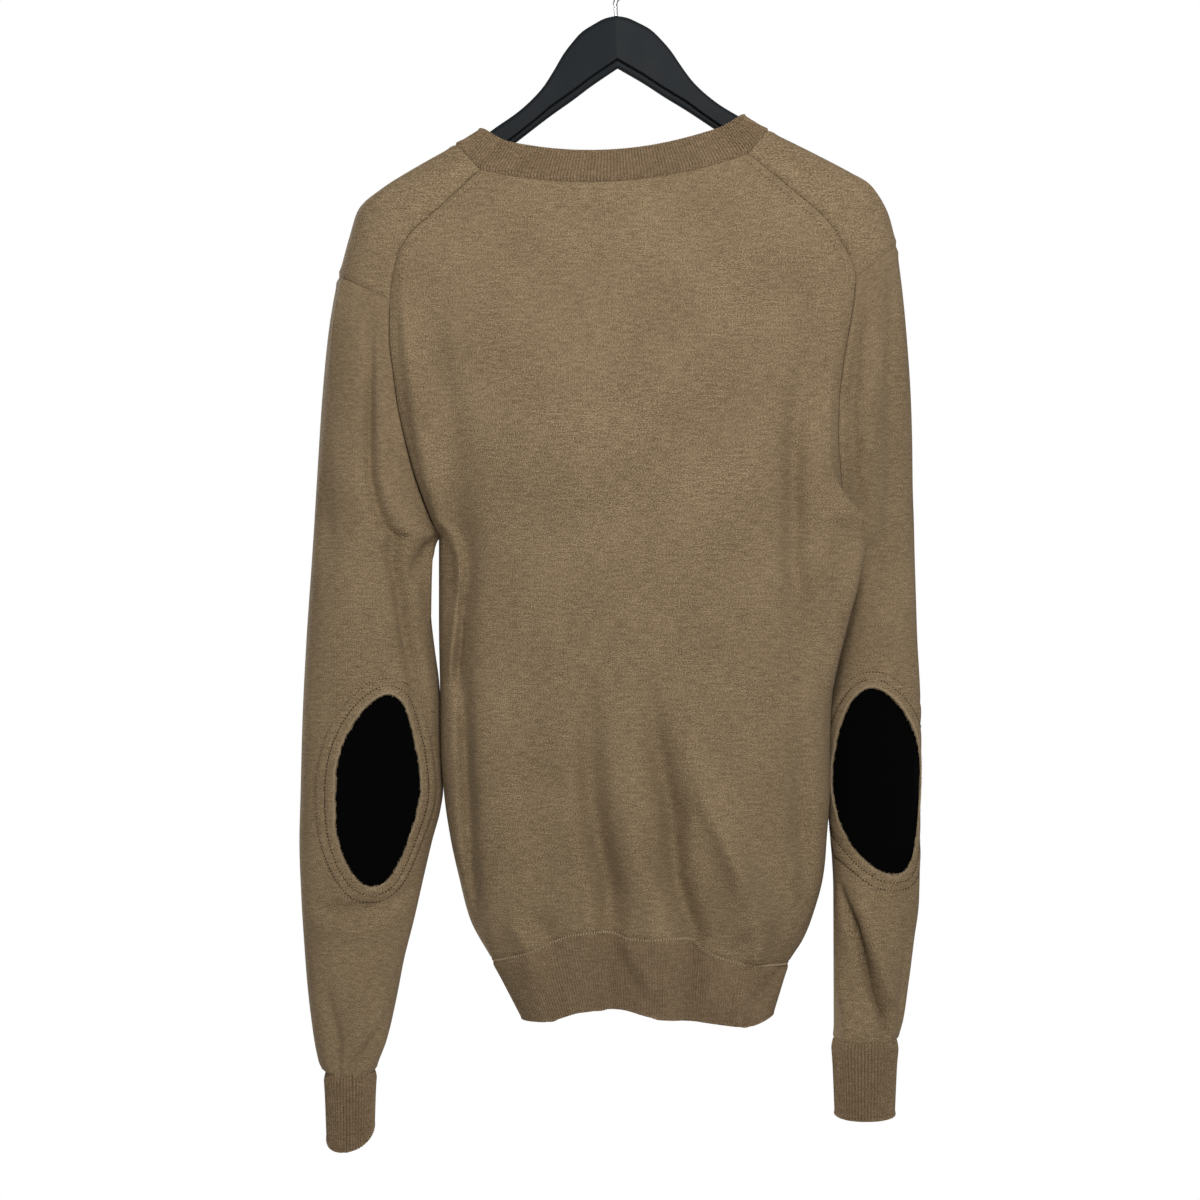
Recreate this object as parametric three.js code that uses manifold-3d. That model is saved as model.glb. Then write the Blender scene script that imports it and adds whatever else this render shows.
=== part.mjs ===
// A worn, fine-gauge knitted sweater hanging on a contoured clothes hanger.
// Millimetres, +Z up. The back of the sweater faces -Y and its front +Y.
// "Left" is the -X side and "right" the +X side, as seen by someone behind the sweater.
// The origin is the inside top of the hook, where the hanger rests on its rod.
import * as THREE from 'three';
import { mergeVertices } from 'three/addons/utils/BufferGeometryUtils.js';
import Module from 'manifold-3d';

// ---------------------------------------------------------------- driving sizes
const JERSEY = 1.6;            // wall of the plain knit
const RIB = 2.2;               // wall of the ribbed bands
const PATCH = 1.2;             // wall of the cloth behind the elbows
const PATCH_GAP = 2.0;         // space between that cloth and the sleeve
const PATCH_LAP = 12;          // how far it runs on above and below the cut-out
const SEAM_GAP = 0.34;         // space left between pieces that are joined by a seam
const CUSP_GAP = 3;            // how many times that they draw apart where they meet back to back
const ROUNDNESS = 0.8;         // power that makes the body and sleeve sections fuller than ellipses

const ROWS_BELOW = 11;         // rows of facets from the hem to the underarm
const ROWS_ARMHOLE = 7;        // ... along the armhole
const ROWS_SHOULDER = 6;       // ... from the armhole to the neck
const BACK_COLUMNS = 18;
const FRONT_COLUMNS = 16;
const HOLE_ROWS = 9;           // rows along each elbow cut-out
const SLEEVE_ROWS = 4;         // rows between a cut-out and the cuff, and between it and the underarm
const SLEEVE_COLUMNS = [5, 5, 6]; // facets round a sleeve: seam to cut-out, on to the outer edge, round the front

const PATCH_RINGS = 4;
const PATCH_SPOKES = 18;
const WIRE = 3.6;              // diameter of the steel hook
const BORE = 4.6;              // diameter of the hole in the hanger's crown that takes the hook's shank
const HOOK_RADIUS = 19;        // inside radius of the hook
const HANGER_TOP = -58;        // height of the hanger's crown
const HANGER_ROLL = 2;         // degrees by which the hanger hangs out of level
const SHANK_DEPTH = 12;        // length of wire inside the crown

// ---------------------------------------------------------------- curves
// A smooth curve through [position, value] knots that never overshoots them.
function through(...knots) {
  const points = knots.slice().sort((a, b) => a[0] - b[0]);
  const slopes = points.slice(1).map((p, k) => (p[1] - points[k][1]) / (p[0] - points[k][0]));
  const tangents = points.map((_, k) => {
    if (k === 0) return slopes[0];
    if (k === points.length - 1) return slopes[k - 1];
    const before = slopes[k - 1];
    const after = slopes[k];
    return before * after <= 0 ? 0 : (2 * before * after) / (before + after);
  });
  return (at) => {
    const t = Math.min(Math.max(at, points[0][0]), points[points.length - 1][0]);
    let k = 0;
    while (k < points.length - 2 && t > points[k + 1][0]) k += 1;
    const step = points[k + 1][0] - points[k][0];
    const s = (t - points[k][0]) / step;
    const rise = points[k + 1][1] - points[k][1];
    const ease = s * s * (3 - 2 * s);
    const lead = s * (1 - s) * (1 - s) * step * tangents[k];
    const trail = s * s * (s - 1) * step * tangents[k + 1];
    return points[k][1] + rise * ease + lead + trail;
  };
}

const mix = (a, b, s) => a + (b - a) * s;
// One list out of several that each start where the one before ends.
const joined = (lists) => lists.flatMap((list, k) => (k === 0 ? list : list.slice(1)));
const power = (value, exponent) => Math.pow(Math.max(value, 0), exponent);

function smooth(from, to, at) {
  const s = Math.min(Math.max((at - from) / (to - from), 0), 1);
  return s * s * (3 - 2 * s);
}

// ---------------------------------------------------------------- the two sides of the sweater
// seam: the line where the back (and, mirrored, the front) ends: side seam, then armhole, then shoulder seam.
// outline: the shoulder's upper edge, paired with the height of the seam point it lies across from.
const SIDES = {
  left: {
    hem: -775, underarm: -451, armholeTop: -275, neck: -175,
    seamX: through([-775, -91], [-743, -108], [-712, -116], [-682, -122.5], [-648, -127.5], [-614, -130],
      [-575, -130.5], [-515, -131.5], [-451, -131.5], [-444, -134], [-407, -145], [-378, -153], [-350, -161],
      [-330, -164], [-302, -167.5], [-275, -167], [-245, -162.5], [-227, -154], [-205, -131], [-175, -100]),
    outlineX: through([-275, -208.3], [-258, -200], [-245, -193], [-227, -177], [-205, -151], [-175, -118.6]),
    outlineZ: through([-275, -255], [-258, -224], [-245, -203], [-227, -188.5], [-205, -172], [-175, -153.8]),
    roll: () => 0,
  },
  right: {
    hem: -777, underarm: -458, armholeTop: -259, neck: -163,
    seamX: through([-777, 132], [-758, 144], [-743, 150], [-712, 158.5], [-697, 160], [-667, 161.5],
      [-636, 160.5], [-606, 159], [-575, 162], [-545, 167], [-515, 170.5], [-484, 174], [-458, 176], [-431, 174],
      [-402, 171], [-375, 169], [-350, 169.4], [-326, 172], [-295, 177], [-276, 180], [-259, 181.4], [-230, 170.5],
      [-216, 161], [-190, 133], [-163, 101.5]),
    outlineX: through([-259, 215.1], [-245, 208.5], [-230, 194], [-216, 181], [-190, 149], [-163, 117]),
    outlineZ: through([-259, -231.3], [-245, -206], [-230, -183.5], [-216, -175.8], [-190, -159], [-163, -143.2]),
    // How far the back swells out over the top of the sleeve under the arm.
    roll: through([-600, 0], [-567, 8], [-533, 15], [-513, 18], [-493, 22], [-474, 24], [-456, 24], [-438, 33],
      [-430, 31], [-421, 24], [-410, 17], [-394, 13], [-375, 8], [-350, 0]),
  },
};
const ROLL_PLACE = 0.3;        // where the swelling over the sleeve is widest, from the seam to the middle
const NECK_DEPTH = 20;         // half depth of the body where the shoulder seam meets the neck
const ARMHOLE_DEPTH = 33;      // half depth at the top of the armhole

const bodyDepth = through([-777, 60], [-650, 64], [-500, 64], [-400, 60], [-300, 52], [-250, 46], [-200, 38],
  [-163, 31]);
const NECK_HALF_WIDTH = 118;   // half width of the neck opening at its seam
const backNeckDrop = 17;       // the back neck seam's dip below its ends
const frontNeckDrop = 68;
const hemLift = through([0, 0], [0.18, 14], [0.34, 26], [0.5, 29], [0.66, 24], [0.82, 10], [1, 0]);

// Half depth of the body at its seam: nothing at the underarm, then opening into the armhole.
function seamDepth(side, z) {
  if (z <= side.underarm) return 0;
  if (z >= side.armholeTop) return mix(ARMHOLE_DEPTH, NECK_DEPTH, power((z - side.armholeTop)
    / (side.neck - side.armholeTop), 1.6));
  const down = (side.armholeTop - z) / (side.armholeTop - side.underarm);
  return ARMHOLE_DEPTH * Math.sqrt(1 - power(down, 3));
}

// Heights of the rows on one side, from the hem seam up to the neck.
function rowHeight(side, v) {
  const below = ROWS_BELOW / (ROWS_BELOW + ROWS_ARMHOLE + ROWS_SHOULDER);
  const armhole = (ROWS_BELOW + ROWS_ARMHOLE) / (ROWS_BELOW + ROWS_ARMHOLE + ROWS_SHOULDER);
  if (v <= below) return mix(side.hem, side.underarm, v / below);
  if (v <= armhole) {
    return mix(side.underarm, side.armholeTop, power((v - below) / (armhole - below), 1.4));
  }
  return mix(side.armholeTop, side.neck, (v - armhole) / (1 - armhole));
}

// ---------------------------------------------------------------- the largest folds
// Each is a soft trough (negative height) or ridge that follows a line of [x, z] points.
const BACK_FOLDS = [
  { height: -7, width: 16, line: [[-18, -560], [-14, -633], [-11, -673], [-5, -712], [2, -760]] },
  { height: -7, width: 16, line: [[29, -575], [34, -633], [38, -673], [47, -708], [60, -760]] },
  { height: 6, width: 14, line: [[56, -600], [67, -645], [78, -669], [88, -691], [112, -735]] },
  { height: -6, width: 15, line: [[-150, -265], [-139, -313], [-122, -350], [-109, -420], [-111, -603],
    [-103, -720]] },
  { height: -6, width: 15, line: [[152, -270], [143, -310], [132, -375], [130, -448], [137, -603],
    [141, -690]] },
];
const FRONT_FOLDS = [
  { height: -7, width: 18, line: [[-60, -560], [-52, -650], [-36, -760]] },
  { height: -7, width: 18, line: [[20, -520], [26, -640], [44, -760]] },
  { height: 6, width: 15, line: [[84, -600], [96, -680], [100, -745]] },
  { height: -6, width: 15, line: [[-145, -280], [-118, -360], [-110, -600], [-100, -720]] },
  { height: -6, width: 15, line: [[150, -280], [134, -370], [132, -600], [138, -700]] },
];

function foldHeight(folds, x, z) {
  let total = 0;
  for (const fold of folds) {
    let nearest = Infinity;
    for (let k = 0; k < fold.line.length - 1; k += 1) {
      const [x0, z0] = fold.line[k];
      const [x1, z1] = fold.line[k + 1];
      const reach = (x1 - x0) ** 2 + (z1 - z0) ** 2;
      const s = Math.min(Math.max(((x - x0) * (x1 - x0) + (z - z0) * (z1 - z0)) / reach, 0), 1);
      nearest = Math.min(nearest, Math.hypot(x - mix(x0, x1, s), z - mix(z0, z1, s)));
    }
    total += fold.height * Math.exp(-((nearest / fold.width) ** 2));
  }
  return total;
}

// ---------------------------------------------------------------- body
// face is -1 for the back and +1 for the front; u runs from the left seam to the right, v from hem to neck.
function bodyPoint(face, u, v) {
  const rows = { left: rowHeight(SIDES.left, v), right: rowHeight(SIDES.right, v) };
  const depth = bodyDepth(mix(rows.left, rows.right, u));
  const middle = (SIDES.left.seamX(rows.left) + SIDES.right.seamX(rows.right)) / 2;
  const side = u < 0.5 ? SIDES.left : SIDES.right;
  const height = u < 0.5 ? rows.left : rows.right;
  const inwards = u < 0.5 ? 2 * u : 2 * (1 - u);
  const start = Math.asin(power(seamDepth(side, height) / depth, 1 / ROUNDNESS));
  const angle = mix(start, Math.PI / 2, inwards);
  const reach = (middle - side.seamX(height)) / Math.cos(start);
  const swell = power(inwards / ROLL_PLACE, 4) * Math.exp(4 - (4 * inwards) / ROLL_PLACE);
  const x = middle - reach * Math.cos(angle) + (face < 0 ? side.roll(height) * swell : 0);
  const across = (x - SIDES.left.seamX(rows.left)) / (SIDES.right.seamX(rows.right) - SIDES.left.seamX(rows.left));
  const dip = 1 - power(Math.abs(2 * across - 1), face < 0 ? 2 : 2.6);
  const neckDrop = face < 0 ? backNeckDrop * smooth(0.7, 1, v) : frontNeckDrop * power(smooth(0.4, 1, v), 1.5);
  const lift = hemLift(face < 0 ? across : 1 - across) * power(1 - v / 0.3, 2);
  const z = mix(rows.left, rows.right, Math.min(Math.max(across, 0), 1)) - neckDrop * dip + lift;
  const raise = foldHeight(face < 0 ? BACK_FOLDS : FRONT_FOLDS, x, z) * smooth(0, 0.25, inwards);
  return new THREE.Vector3(x, face * (depth * power(Math.sin(angle), ROUNDNESS) + raise), z);
}

// ---------------------------------------------------------------- sleeves
// inner and outer: the sleeve's two edges; the seam line takes inner's place from the underarm up.
// back and front: half depths; sway: how far the outer edge hangs towards the front; tuck: the same, inner edge.
const SLEEVES = {
  left: {
    side: SIDES.left, cuff: -858, lift: 20,
    inner: through([-858, -181.7], [-834, -172], [-804, -165], [-773, -159], [-743, -151.5], [-712, -144.5],
      [-682, -137.5], [-667, -134.6], [-644, -133.8], [-606, -135], [-559, -135.4], [-515, -138.3],
      [-477, -140.6], [-460, -137.6], [-451, -131.5]),
    outer: through([-858, -217.5], [-849, -223.5], [-819, -229], [-788, -232.6], [-758, -235], [-728, -237],
      [-682, -238.7], [-652, -238], [-591, -236.4], [-530, -233.3], [-469, -229], [-408, -225], [-348, -221],
      [-302, -216.6], [-272, -212], [-255, -208.3]),
    back: through([-858, 24], [-790, 27], [-720, 31], [-640, 34], [-560, 33], [-451, 34], [-400, 36], [-310, 36],
      [-275, 33]),
    front: through([-858, 24], [-790, 29], [-720, 34], [-640, 37], [-560, 37], [-451, 36], [-400, 37],
      [-310, 36], [-275, 33]),
    sway: through([-858, 0], [-640, 6], [-451, 4], [-330, 2], [-275, 0]),
    tuck: through([-858, 0], [-640, 6], [-500, 3], [-451, 0]),
    hole: { at: 0.21, half: 0.104, z: -642.6, tall: 72.6, margin: 0.04 },
  },
  right: {
    side: SIDES.right, cuff: -834, lift: 27.7,
    inner: through([-834, 167.9], [-667, 168], [-636, 168.7], [-606, 169.5], [-576, 171.2], [-545, 174.4],
      [-515, 179], [-484, 183], [-468, 183], [-458, 176]),
    outer: through([-834, 215], [-819, 220.4], [-788, 225], [-758, 228.7], [-728, 232.5], [-697, 233.3],
      [-667, 233.5], [-621, 234.8], [-576, 234.8], [-530, 233.3], [-469, 232.5], [-439, 231.8], [-408, 230.3],
      [-348, 227.2], [-302, 223.4], [-272, 220.4], [-231.3, 215.1]),
    back: through([-834, 22], [-720, 25], [-640, 25], [-560, 24], [-510, 21], [-458, 15], [-430, 22], [-400, 28],
      [-360, 33], [-300, 35], [-259, 33]),
    front: through([-834, 22], [-790, 30], [-720, 41], [-640, 46], [-560, 44], [-458, 36], [-360, 36],
      [-300, 35], [-259, 33]),
    sway: through([-834, 0], [-720, 2], [-640, 6], [-560, 14], [-510, 22], [-458, 28], [-430, 28], [-380, 15],
      [-320, 4], [-259, 0]),
    tuck: through([-834, 0], [-720, 2], [-640, 6], [-560, 14], [-500, 14], [-475, 10], [-458, 0]),
    hole: { at: 0.262, half: 0.205, z: -636, tall: 70.5, margin: 0.02 },
  },
};

// c runs round the sleeve, 0 and 1 at its seam, 0.5 at its outer edge; height is that of the row at the seam.
function sleevePoint(sleeve, c, height) {
  const { side } = sleeve;
  const face = c < 0.5 ? -1 : 1;
  const around = c < 0.5 ? 2 * c : 2 * (1 - c);
  const depth = (face < 0 ? sleeve.back : sleeve.front)(height);
  const open = height > side.underarm;
  const seamX = open ? side.seamX(height) : sleeve.inner(height);
  const tuck = open ? 0 : sleeve.tuck(height);
  const start = Math.asin(Math.min(power(seamDepth(side, height) / depth, 1 / ROUNDNESS), 1));
  const angle = mix(start, Math.PI, around);
  const out = (Math.cos(start) - Math.cos(angle)) / (1 + Math.cos(start));
  const lift = sleeve.lift * power(smooth(side.underarm, side.armholeTop, height), 2);
  const outerX = sleeve.outer(height + lift);
  const x = mix(seamX, outerX, out);
  const y = face * depth * power(Math.sin(angle), ROUNDNESS) + mix(tuck, sleeve.sway(height), out);
  return new THREE.Vector3(x, y, height + lift * out);
}

// The outward direction at a point of the sleeve, from its neighbours on the surface.
function sleeveNormal(sleeve, c, height) {
  const along = sleevePoint(sleeve, c + 0.004, height).sub(sleevePoint(sleeve, c - 0.004, height));
  const up = sleevePoint(sleeve, c, height + 1).sub(sleevePoint(sleeve, c, height - 1));
  const normal = along.cross(up).normalize();
  return sleeve === SLEEVES.left ? normal.negate() : normal;
}

// Columns of the three strips round a sleeve. The first two part round the cut-out, which is half as wide as given.
function sleeveColumns(sleeve, half = 0) {
  const { at } = sleeve.hole;
  const ends = [[0, at - half], [at + half, 0.5], [0.5, 1]];
  return ends.map(([from, to], strip) => {
    const count = SLEEVE_COLUMNS[strip];
    return Array.from({ length: count + 1 }, (_, k) => mix(from, to, k / count));
  });
}

function sleeveGrids(sleeve) {
  const { hole, side } = sleeve;
  const heights = [];
  const bottom = hole.z - hole.tall;
  const top = hole.z + hole.tall;
  for (let k = 0; k < SLEEVE_ROWS; k += 1) heights.push(mix(sleeve.cuff, bottom, k / SLEEVE_ROWS));
  for (let k = 0; k < HOLE_ROWS; k += 1) heights.push(hole.z - hole.tall * Math.cos((Math.PI * k) / HOLE_ROWS));
  for (let k = 0; k < SLEEVE_ROWS; k += 1) heights.push(mix(top, side.underarm, k / SLEEVE_ROWS));
  for (let k = 0; k <= ROWS_ARMHOLE; k += 1) {
    heights.push(rowHeight(side, (ROWS_BELOW + k) / (ROWS_BELOW + ROWS_ARMHOLE + ROWS_SHOULDER)));
  }
  return SLEEVE_COLUMNS.map((_, strip) => heights.map((height) => {
    const half = hole.half * Math.sqrt(Math.max(1 - ((height - hole.z) / hole.tall) ** 2, 0));
    return sleeveColumns(sleeve, half)[strip].map((c) => sleevePoint(sleeve, c, height));
  }));
}

// The cloth behind the cut-out: a disc of the sleeve's own surface, moved inwards.
function patchGrid(sleeve) {
  const { hole } = sleeve;
  const wide = hole.half + hole.margin;
  const tall = hole.tall + PATCH_LAP;
  const inward = JERSEY + PATCH_GAP;
  return Array.from({ length: PATCH_RINGS + 1 }, (_, r) => Array.from({ length: PATCH_SPOKES + 1 }, (__, s) => {
    const angle = (2 * Math.PI * (s % PATCH_SPOKES)) / PATCH_SPOKES;
    const c = hole.at + wide * (r / PATCH_RINGS) * Math.cos(angle);
    const height = hole.z + tall * (r / PATCH_RINGS) * Math.sin(angle);
    return sleevePoint(sleeve, c, height).addScaledVector(sleeveNormal(sleeve, c, height), -inward);
  }));
}

// ---------------------------------------------------------------- shoulders
// The front's extension over one shoulder, from the back seam across the outline to the front.
function shoulderGrid(sleeve) {
  const { side } = sleeve;
  const columns = joined(sleeveColumns(sleeve));
  const total = ROWS_BELOW + ROWS_ARMHOLE + ROWS_SHOULDER;
  return Array.from({ length: ROWS_SHOULDER + 1 }, (_, k) => {
    const height = rowHeight(side, (ROWS_BELOW + ROWS_ARMHOLE + k) / total);
    return columns.map((c) => {
      const face = c < 0.5 ? -1 : 1;
      const angle = mix(Math.PI / 2, Math.PI, c < 0.5 ? 2 * c : 2 * (1 - c));
      const out = -Math.cos(angle);
      const y = face * seamDepth(side, height) * power(Math.sin(angle), ROUNDNESS);
      return new THREE.Vector3(mix(side.seamX(height), side.outlineX(height), out), y,
        mix(height, side.outlineZ(height), out));
    });
  });
}

function bodyGrid(face, columns) {
  const rows = ROWS_BELOW + ROWS_ARMHOLE + ROWS_SHOULDER;
  return Array.from({ length: rows + 1 }, (_, j) => Array.from({ length: columns + 1 }, (__, i) => (
    bodyPoint(face, i / columns, j / rows))));
}

// ---------------------------------------------------------------- walls of cloth
const keyOf = (p) => [p.x, p.y, p.z].map((n) => Math.round(n * 500)).join();

// Joins grids of points, the outer surface of one piece of cloth, into a single sheet of facets.
function sheetOf(grids) {
  const points = [];
  const known = new Map();
  const faces = [];
  const indexOf = (p) => {
    const key = keyOf(p);
    if (!known.has(key)) {
      known.set(key, points.length);
      points.push(p.clone());
    }
    return known.get(key);
  };
  const addFace = (a, b, c) => {
    if (a !== b && b !== c && a !== c) faces.push([a, b, c]);
  };
  for (const { grid, flip } of grids) {
    const ids = grid.map((row) => row.map(indexOf));
    for (let j = 0; j < ids.length - 1; j += 1) {
      for (let i = 0; i < ids[j].length - 1; i += 1) {
        const [a, b, c, d] = [ids[j][i], ids[j][i + 1], ids[j + 1][i + 1], ids[j + 1][i]];
        if (flip) {
          addFace(a, c, b);
          addFace(a, d, c);
        } else {
          addFace(a, b, c);
          addFace(a, c, d);
        }
      }
    }
  }
  return { points, faces };
}

function faceNormal(points, [a, b, c]) {
  return points[b].clone().sub(points[a]).cross(points[c].clone().sub(points[a]));
}

// Outward directions at the points of several sheets together: joined pieces get the same one along their seam.
function outwardDirections(sheets) {
  const directions = new Map();
  for (const { points, faces } of sheets) {
    for (const face of faces) {
      const normal = faceNormal(points, face);
      for (const k of face) {
        const key = keyOf(points[k]);
        if (!directions.has(key)) directions.set(key, new THREE.Vector3());
        directions.get(key).add(normal);
      }
    }
  }
  directions.forEach((direction) => direction.normalize());
  return directions;
}

// Gives a sheet a wall on its inner side. Its edges are drawn back a little, so that joined pieces stay apart,
// and where two sheets meet back to back, as under the arm, each edge also draws away from the other.
function wall({ points, faces }, thickness, directions) {
  const own = outwardDirections([{ points, faces }]);
  const edges = new Map();
  for (const face of faces) {
    const normal = faceNormal(points, face);
    const [a, b, c] = face;
    for (const [from, to] of [[a, b], [b, c], [c, a]]) edges.set(`${from} ${to}`, [from, to, normal]);
  }
  const rim = [...edges.values()].filter(([from, to]) => !edges.has(`${to} ${from}`));
  const drawBack = points.map(() => new THREE.Vector3());
  for (const [from, to, normal] of rim) {
    const inward = normal.clone().cross(points[to].clone().sub(points[from])).normalize();
    drawBack[from].add(inward);
    drawBack[to].add(inward);
  }
  const outer = points.map((p, k) => {
    if (drawBack[k].lengthSq() === 0) return p.clone();
    const shared = directions.get(keyOf(p));
    const outward = own.get(keyOf(p));
    const apart = shared.clone().multiplyScalar(outward.dot(shared)).sub(outward);
    return p.clone().addScaledVector(drawBack[k].normalize().addScaledVector(apart, CUSP_GAP), SEAM_GAP / 2);
  });
  const inner = outer.map((p, k) => p.clone().addScaledVector(directions.get(keyOf(points[k])), -thickness));
  const count = points.length;
  const index = [];
  for (const [a, b, c] of faces) index.push(a, b, c, a + count, c + count, b + count);
  for (const [from, to] of rim) index.push(to, from, from + count, to, from + count, to + count);
  const geometry = new THREE.BufferGeometry();
  geometry.setAttribute('position', new THREE.Float32BufferAttribute(
    [...outer, ...inner].flatMap((p) => p.toArray()), 3));
  geometry.setIndex(index);
  return geometry;
}

// ---------------------------------------------------------------- ribbed bands
const backGrid = bodyGrid(-1, BACK_COLUMNS);
const frontGrid = bodyGrid(1, FRONT_COLUMNS);
const shoulders = { left: shoulderGrid(SLEEVES.left), right: shoulderGrid(SLEEVES.right) };
const sleeves = { left: sleeveGrids(SLEEVES.left), right: sleeveGrids(SLEEVES.right) };
const lastOf = (list) => list[list.length - 1];

// A band that runs from one closed ring of points to the next.
const bandGrid = (ring, places) => places.map((place) => ring.map(place));

// The neck band's top edge: its middle, its size against the seam's, and its rise at the front and on the shoulders.
const NECK_BAND = { middle: -1, across: 0.845, depth: 0.78, rise: 12, extra: 13, fade: 14 };

function neckGrid() {
  const ring = joined([
    lastOf(backGrid),
    lastOf(shoulders.right),
    lastOf(frontGrid).slice().reverse(),
    lastOf(shoulders.left).slice().reverse(),
  ]);
  const top = (p) => {
    const shoulder = mix(SIDES.left.outlineZ(SIDES.left.neck), SIDES.right.outlineZ(SIDES.right.neck),
      (p.x + NECK_HALF_WIDTH) / (2 * NECK_HALF_WIDTH));
    const rise = NECK_BAND.rise + NECK_BAND.extra * (1 - Math.exp((p.z - shoulder) / NECK_BAND.fade));
    return new THREE.Vector3(mix(NECK_BAND.middle, p.x, NECK_BAND.across), p.y * NECK_BAND.depth, p.z + rise);
  };
  return bandGrid(ring, [(p) => p, (p) => p.clone().lerp(top(p), 0.5), top]);
}

const hemBottom = through([-70, -817], [-46, -814], [-26, -807], [0, -803], [22, -807], [42, -811], [70, -814],
  [99, -818], [127, -811]);

const HEM_BAND = { middle: 29, across: 0.88, depth: 0.86 };

function hemGrid() {
  const ring = joined([backGrid[0], frontGrid[0].slice().reverse()]);
  const bottom = (p) => {
    const x = mix(HEM_BAND.middle, p.x, HEM_BAND.across);
    return new THREE.Vector3(x, p.y * HEM_BAND.depth, hemBottom(x));
  };
  return bandGrid(ring, [bottom, (p) => p.clone().lerp(bottom(p), 0.5), (p) => p]);
}

// The cuff hangs from the sleeve's last row; its lower edge is a little out of level.
const CUFFS = {
  left: { middle: -197, z: -903, leanY: 0.5, leanX: 0.2 },
  right: { middle: 191, z: -890, leanY: 0.1, leanX: 0.0 },
};

const CUFF_TAPER = 0.93;       // size of a cuff's lower edge against its seam

function cuffGrid(hand) {
  const cuff = CUFFS[hand];
  const ring = joined(sleeves[hand].map((grid) => grid[0]));
  const bottom = (p) => new THREE.Vector3(mix(cuff.middle, p.x, CUFF_TAPER), p.y * CUFF_TAPER,
    cuff.z + cuff.leanY * p.y + cuff.leanX * (p.x - cuff.middle));
  return bandGrid(ring, [bottom, (p) => p.clone().lerp(bottom(p), 0.5), (p) => p]);
}

// ---------------------------------------------------------------- hanger
// Upper and lower edges of the moulded body against the distance from its middle, before it hangs out of level.
const hangerUpper = through([0, -58], [8, -59.4], [17, -63.4], [26, -68.5], [34, -76.5], [41, -85], [48, -96],
  [58, -110], [75, -125.5], [95, -138.5], [120, -156], [165, -184.5], [183, -197], [190, -208]);
const hangerLower = through([0, -97], [20, -109], [34, -118.5], [52, -130], [75, -146], [95, -160], [120, -178],
  [165, -208], [183, -220], [190, -214]);
const hangerThick = through([0, 15], [40, 15], [75, 16], [110, 18], [140, 24], [170, 29], [184, 24], [190, 10]);
const hangerSweep = through([0, -2], [60, -1], [190, 6]);
const HANGER_STATIONS = [0, 8, 17, 26, 34, 41, 48, 58, 75, 95, 120, 145, 165, 178, 185, 190];
const HANGER_SIDES = 14;

function hangerGeometry() {
  const stations = [...HANGER_STATIONS.slice(1).map((x) => -x).reverse(), ...HANGER_STATIONS];
  const positions = [];
  const index = [];
  for (const x of stations) {
    const away = Math.abs(x);
    const middle = (hangerUpper(away) + hangerLower(away)) / 2;
    const tall = (hangerUpper(away) - hangerLower(away)) / 2;
    for (let k = 0; k < HANGER_SIDES; k += 1) {
      const angle = (2 * Math.PI * k) / HANGER_SIDES;
      const round = (value) => Math.sign(value) * power(Math.abs(value), 0.7);
      positions.push(x, hangerSweep(away) + (hangerThick(away) / 2) * round(Math.sin(angle)),
        middle + tall * round(Math.cos(angle)));
    }
  }
  const ring = (s, k) => s * HANGER_SIDES + (k % HANGER_SIDES);
  for (let s = 0; s < stations.length - 1; s += 1) {
    for (let k = 0; k < HANGER_SIDES; k += 1) {
      index.push(ring(s, k), ring(s + 1, k + 1), ring(s, k + 1), ring(s, k), ring(s + 1, k), ring(s + 1, k + 1));
    }
  }
  for (let k = 1; k < HANGER_SIDES - 1; k += 1) {
    const end = stations.length - 1;
    index.push(ring(0, 0), ring(0, k), ring(0, k + 1), ring(end, 0), ring(end, k + 1), ring(end, k));
  }
  const geometry = new THREE.BufferGeometry();
  geometry.setAttribute('position', new THREE.Float32BufferAttribute(positions, 3));
  geometry.setIndex(index);
  return geometry;
}

function hookGeometry() {
  const middle = HOOK_RADIUS + WIRE / 2;
  const points = [
    new THREE.Vector3(0, 0, HANGER_TOP - SHANK_DEPTH + 1),
    new THREE.Vector3(0, 0, HANGER_TOP),
    new THREE.Vector3(1, 0, HANGER_TOP + 6),
  ];
  for (let degrees = -62; degrees <= 196; degrees += 21.5) {
    const angle = THREE.MathUtils.degToRad(degrees);
    points.push(new THREE.Vector3(middle * Math.cos(angle), 0, -HOOK_RADIUS + middle * Math.sin(angle)));
  }
  const path = new THREE.CatmullRomCurve3(points, false, 'centripetal');
  const section = new THREE.Shape();
  section.absarc(0, 0, WIRE / 2, 0, 2 * Math.PI);
  return new THREE.ExtrudeGeometry(section, { steps: 44, curveSegments: 6, extrudePath: path, bevelEnabled: false });
}

// The crown is drilled from above for the hook's shank.
const kernel = await Module();
kernel.setup();

function toSolid(geometry) {
  const bare = geometry.clone();
  bare.deleteAttribute('normal');
  bare.deleteAttribute('uv');
  const merged = mergeVertices(bare, 1e-4);
  return new kernel.Manifold(new kernel.Mesh({
    numProp: 3,
    vertProperties: new Float32Array(merged.attributes.position.array),
    triVerts: new Uint32Array(merged.index.array),
  }));
}

function fromSolid(solid) {
  const mesh = solid.getMesh();
  const geometry = new THREE.BufferGeometry();
  geometry.setAttribute('position', new THREE.Float32BufferAttribute(mesh.vertProperties, 3));
  geometry.setIndex([...mesh.triVerts]);
  return geometry;
}

function drilledHanger() {
  const length = 2 * SHANK_DEPTH;
  const drill = new THREE.CylinderGeometry(BORE / 2, BORE / 2, length, 12)
    .rotateX(Math.PI / 2)
    .translate(0, 0, HANGER_TOP - SHANK_DEPTH + length / 2);
  return fromSolid(toSolid(hangerGeometry()).subtract(toSolid(drill)));
}

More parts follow.
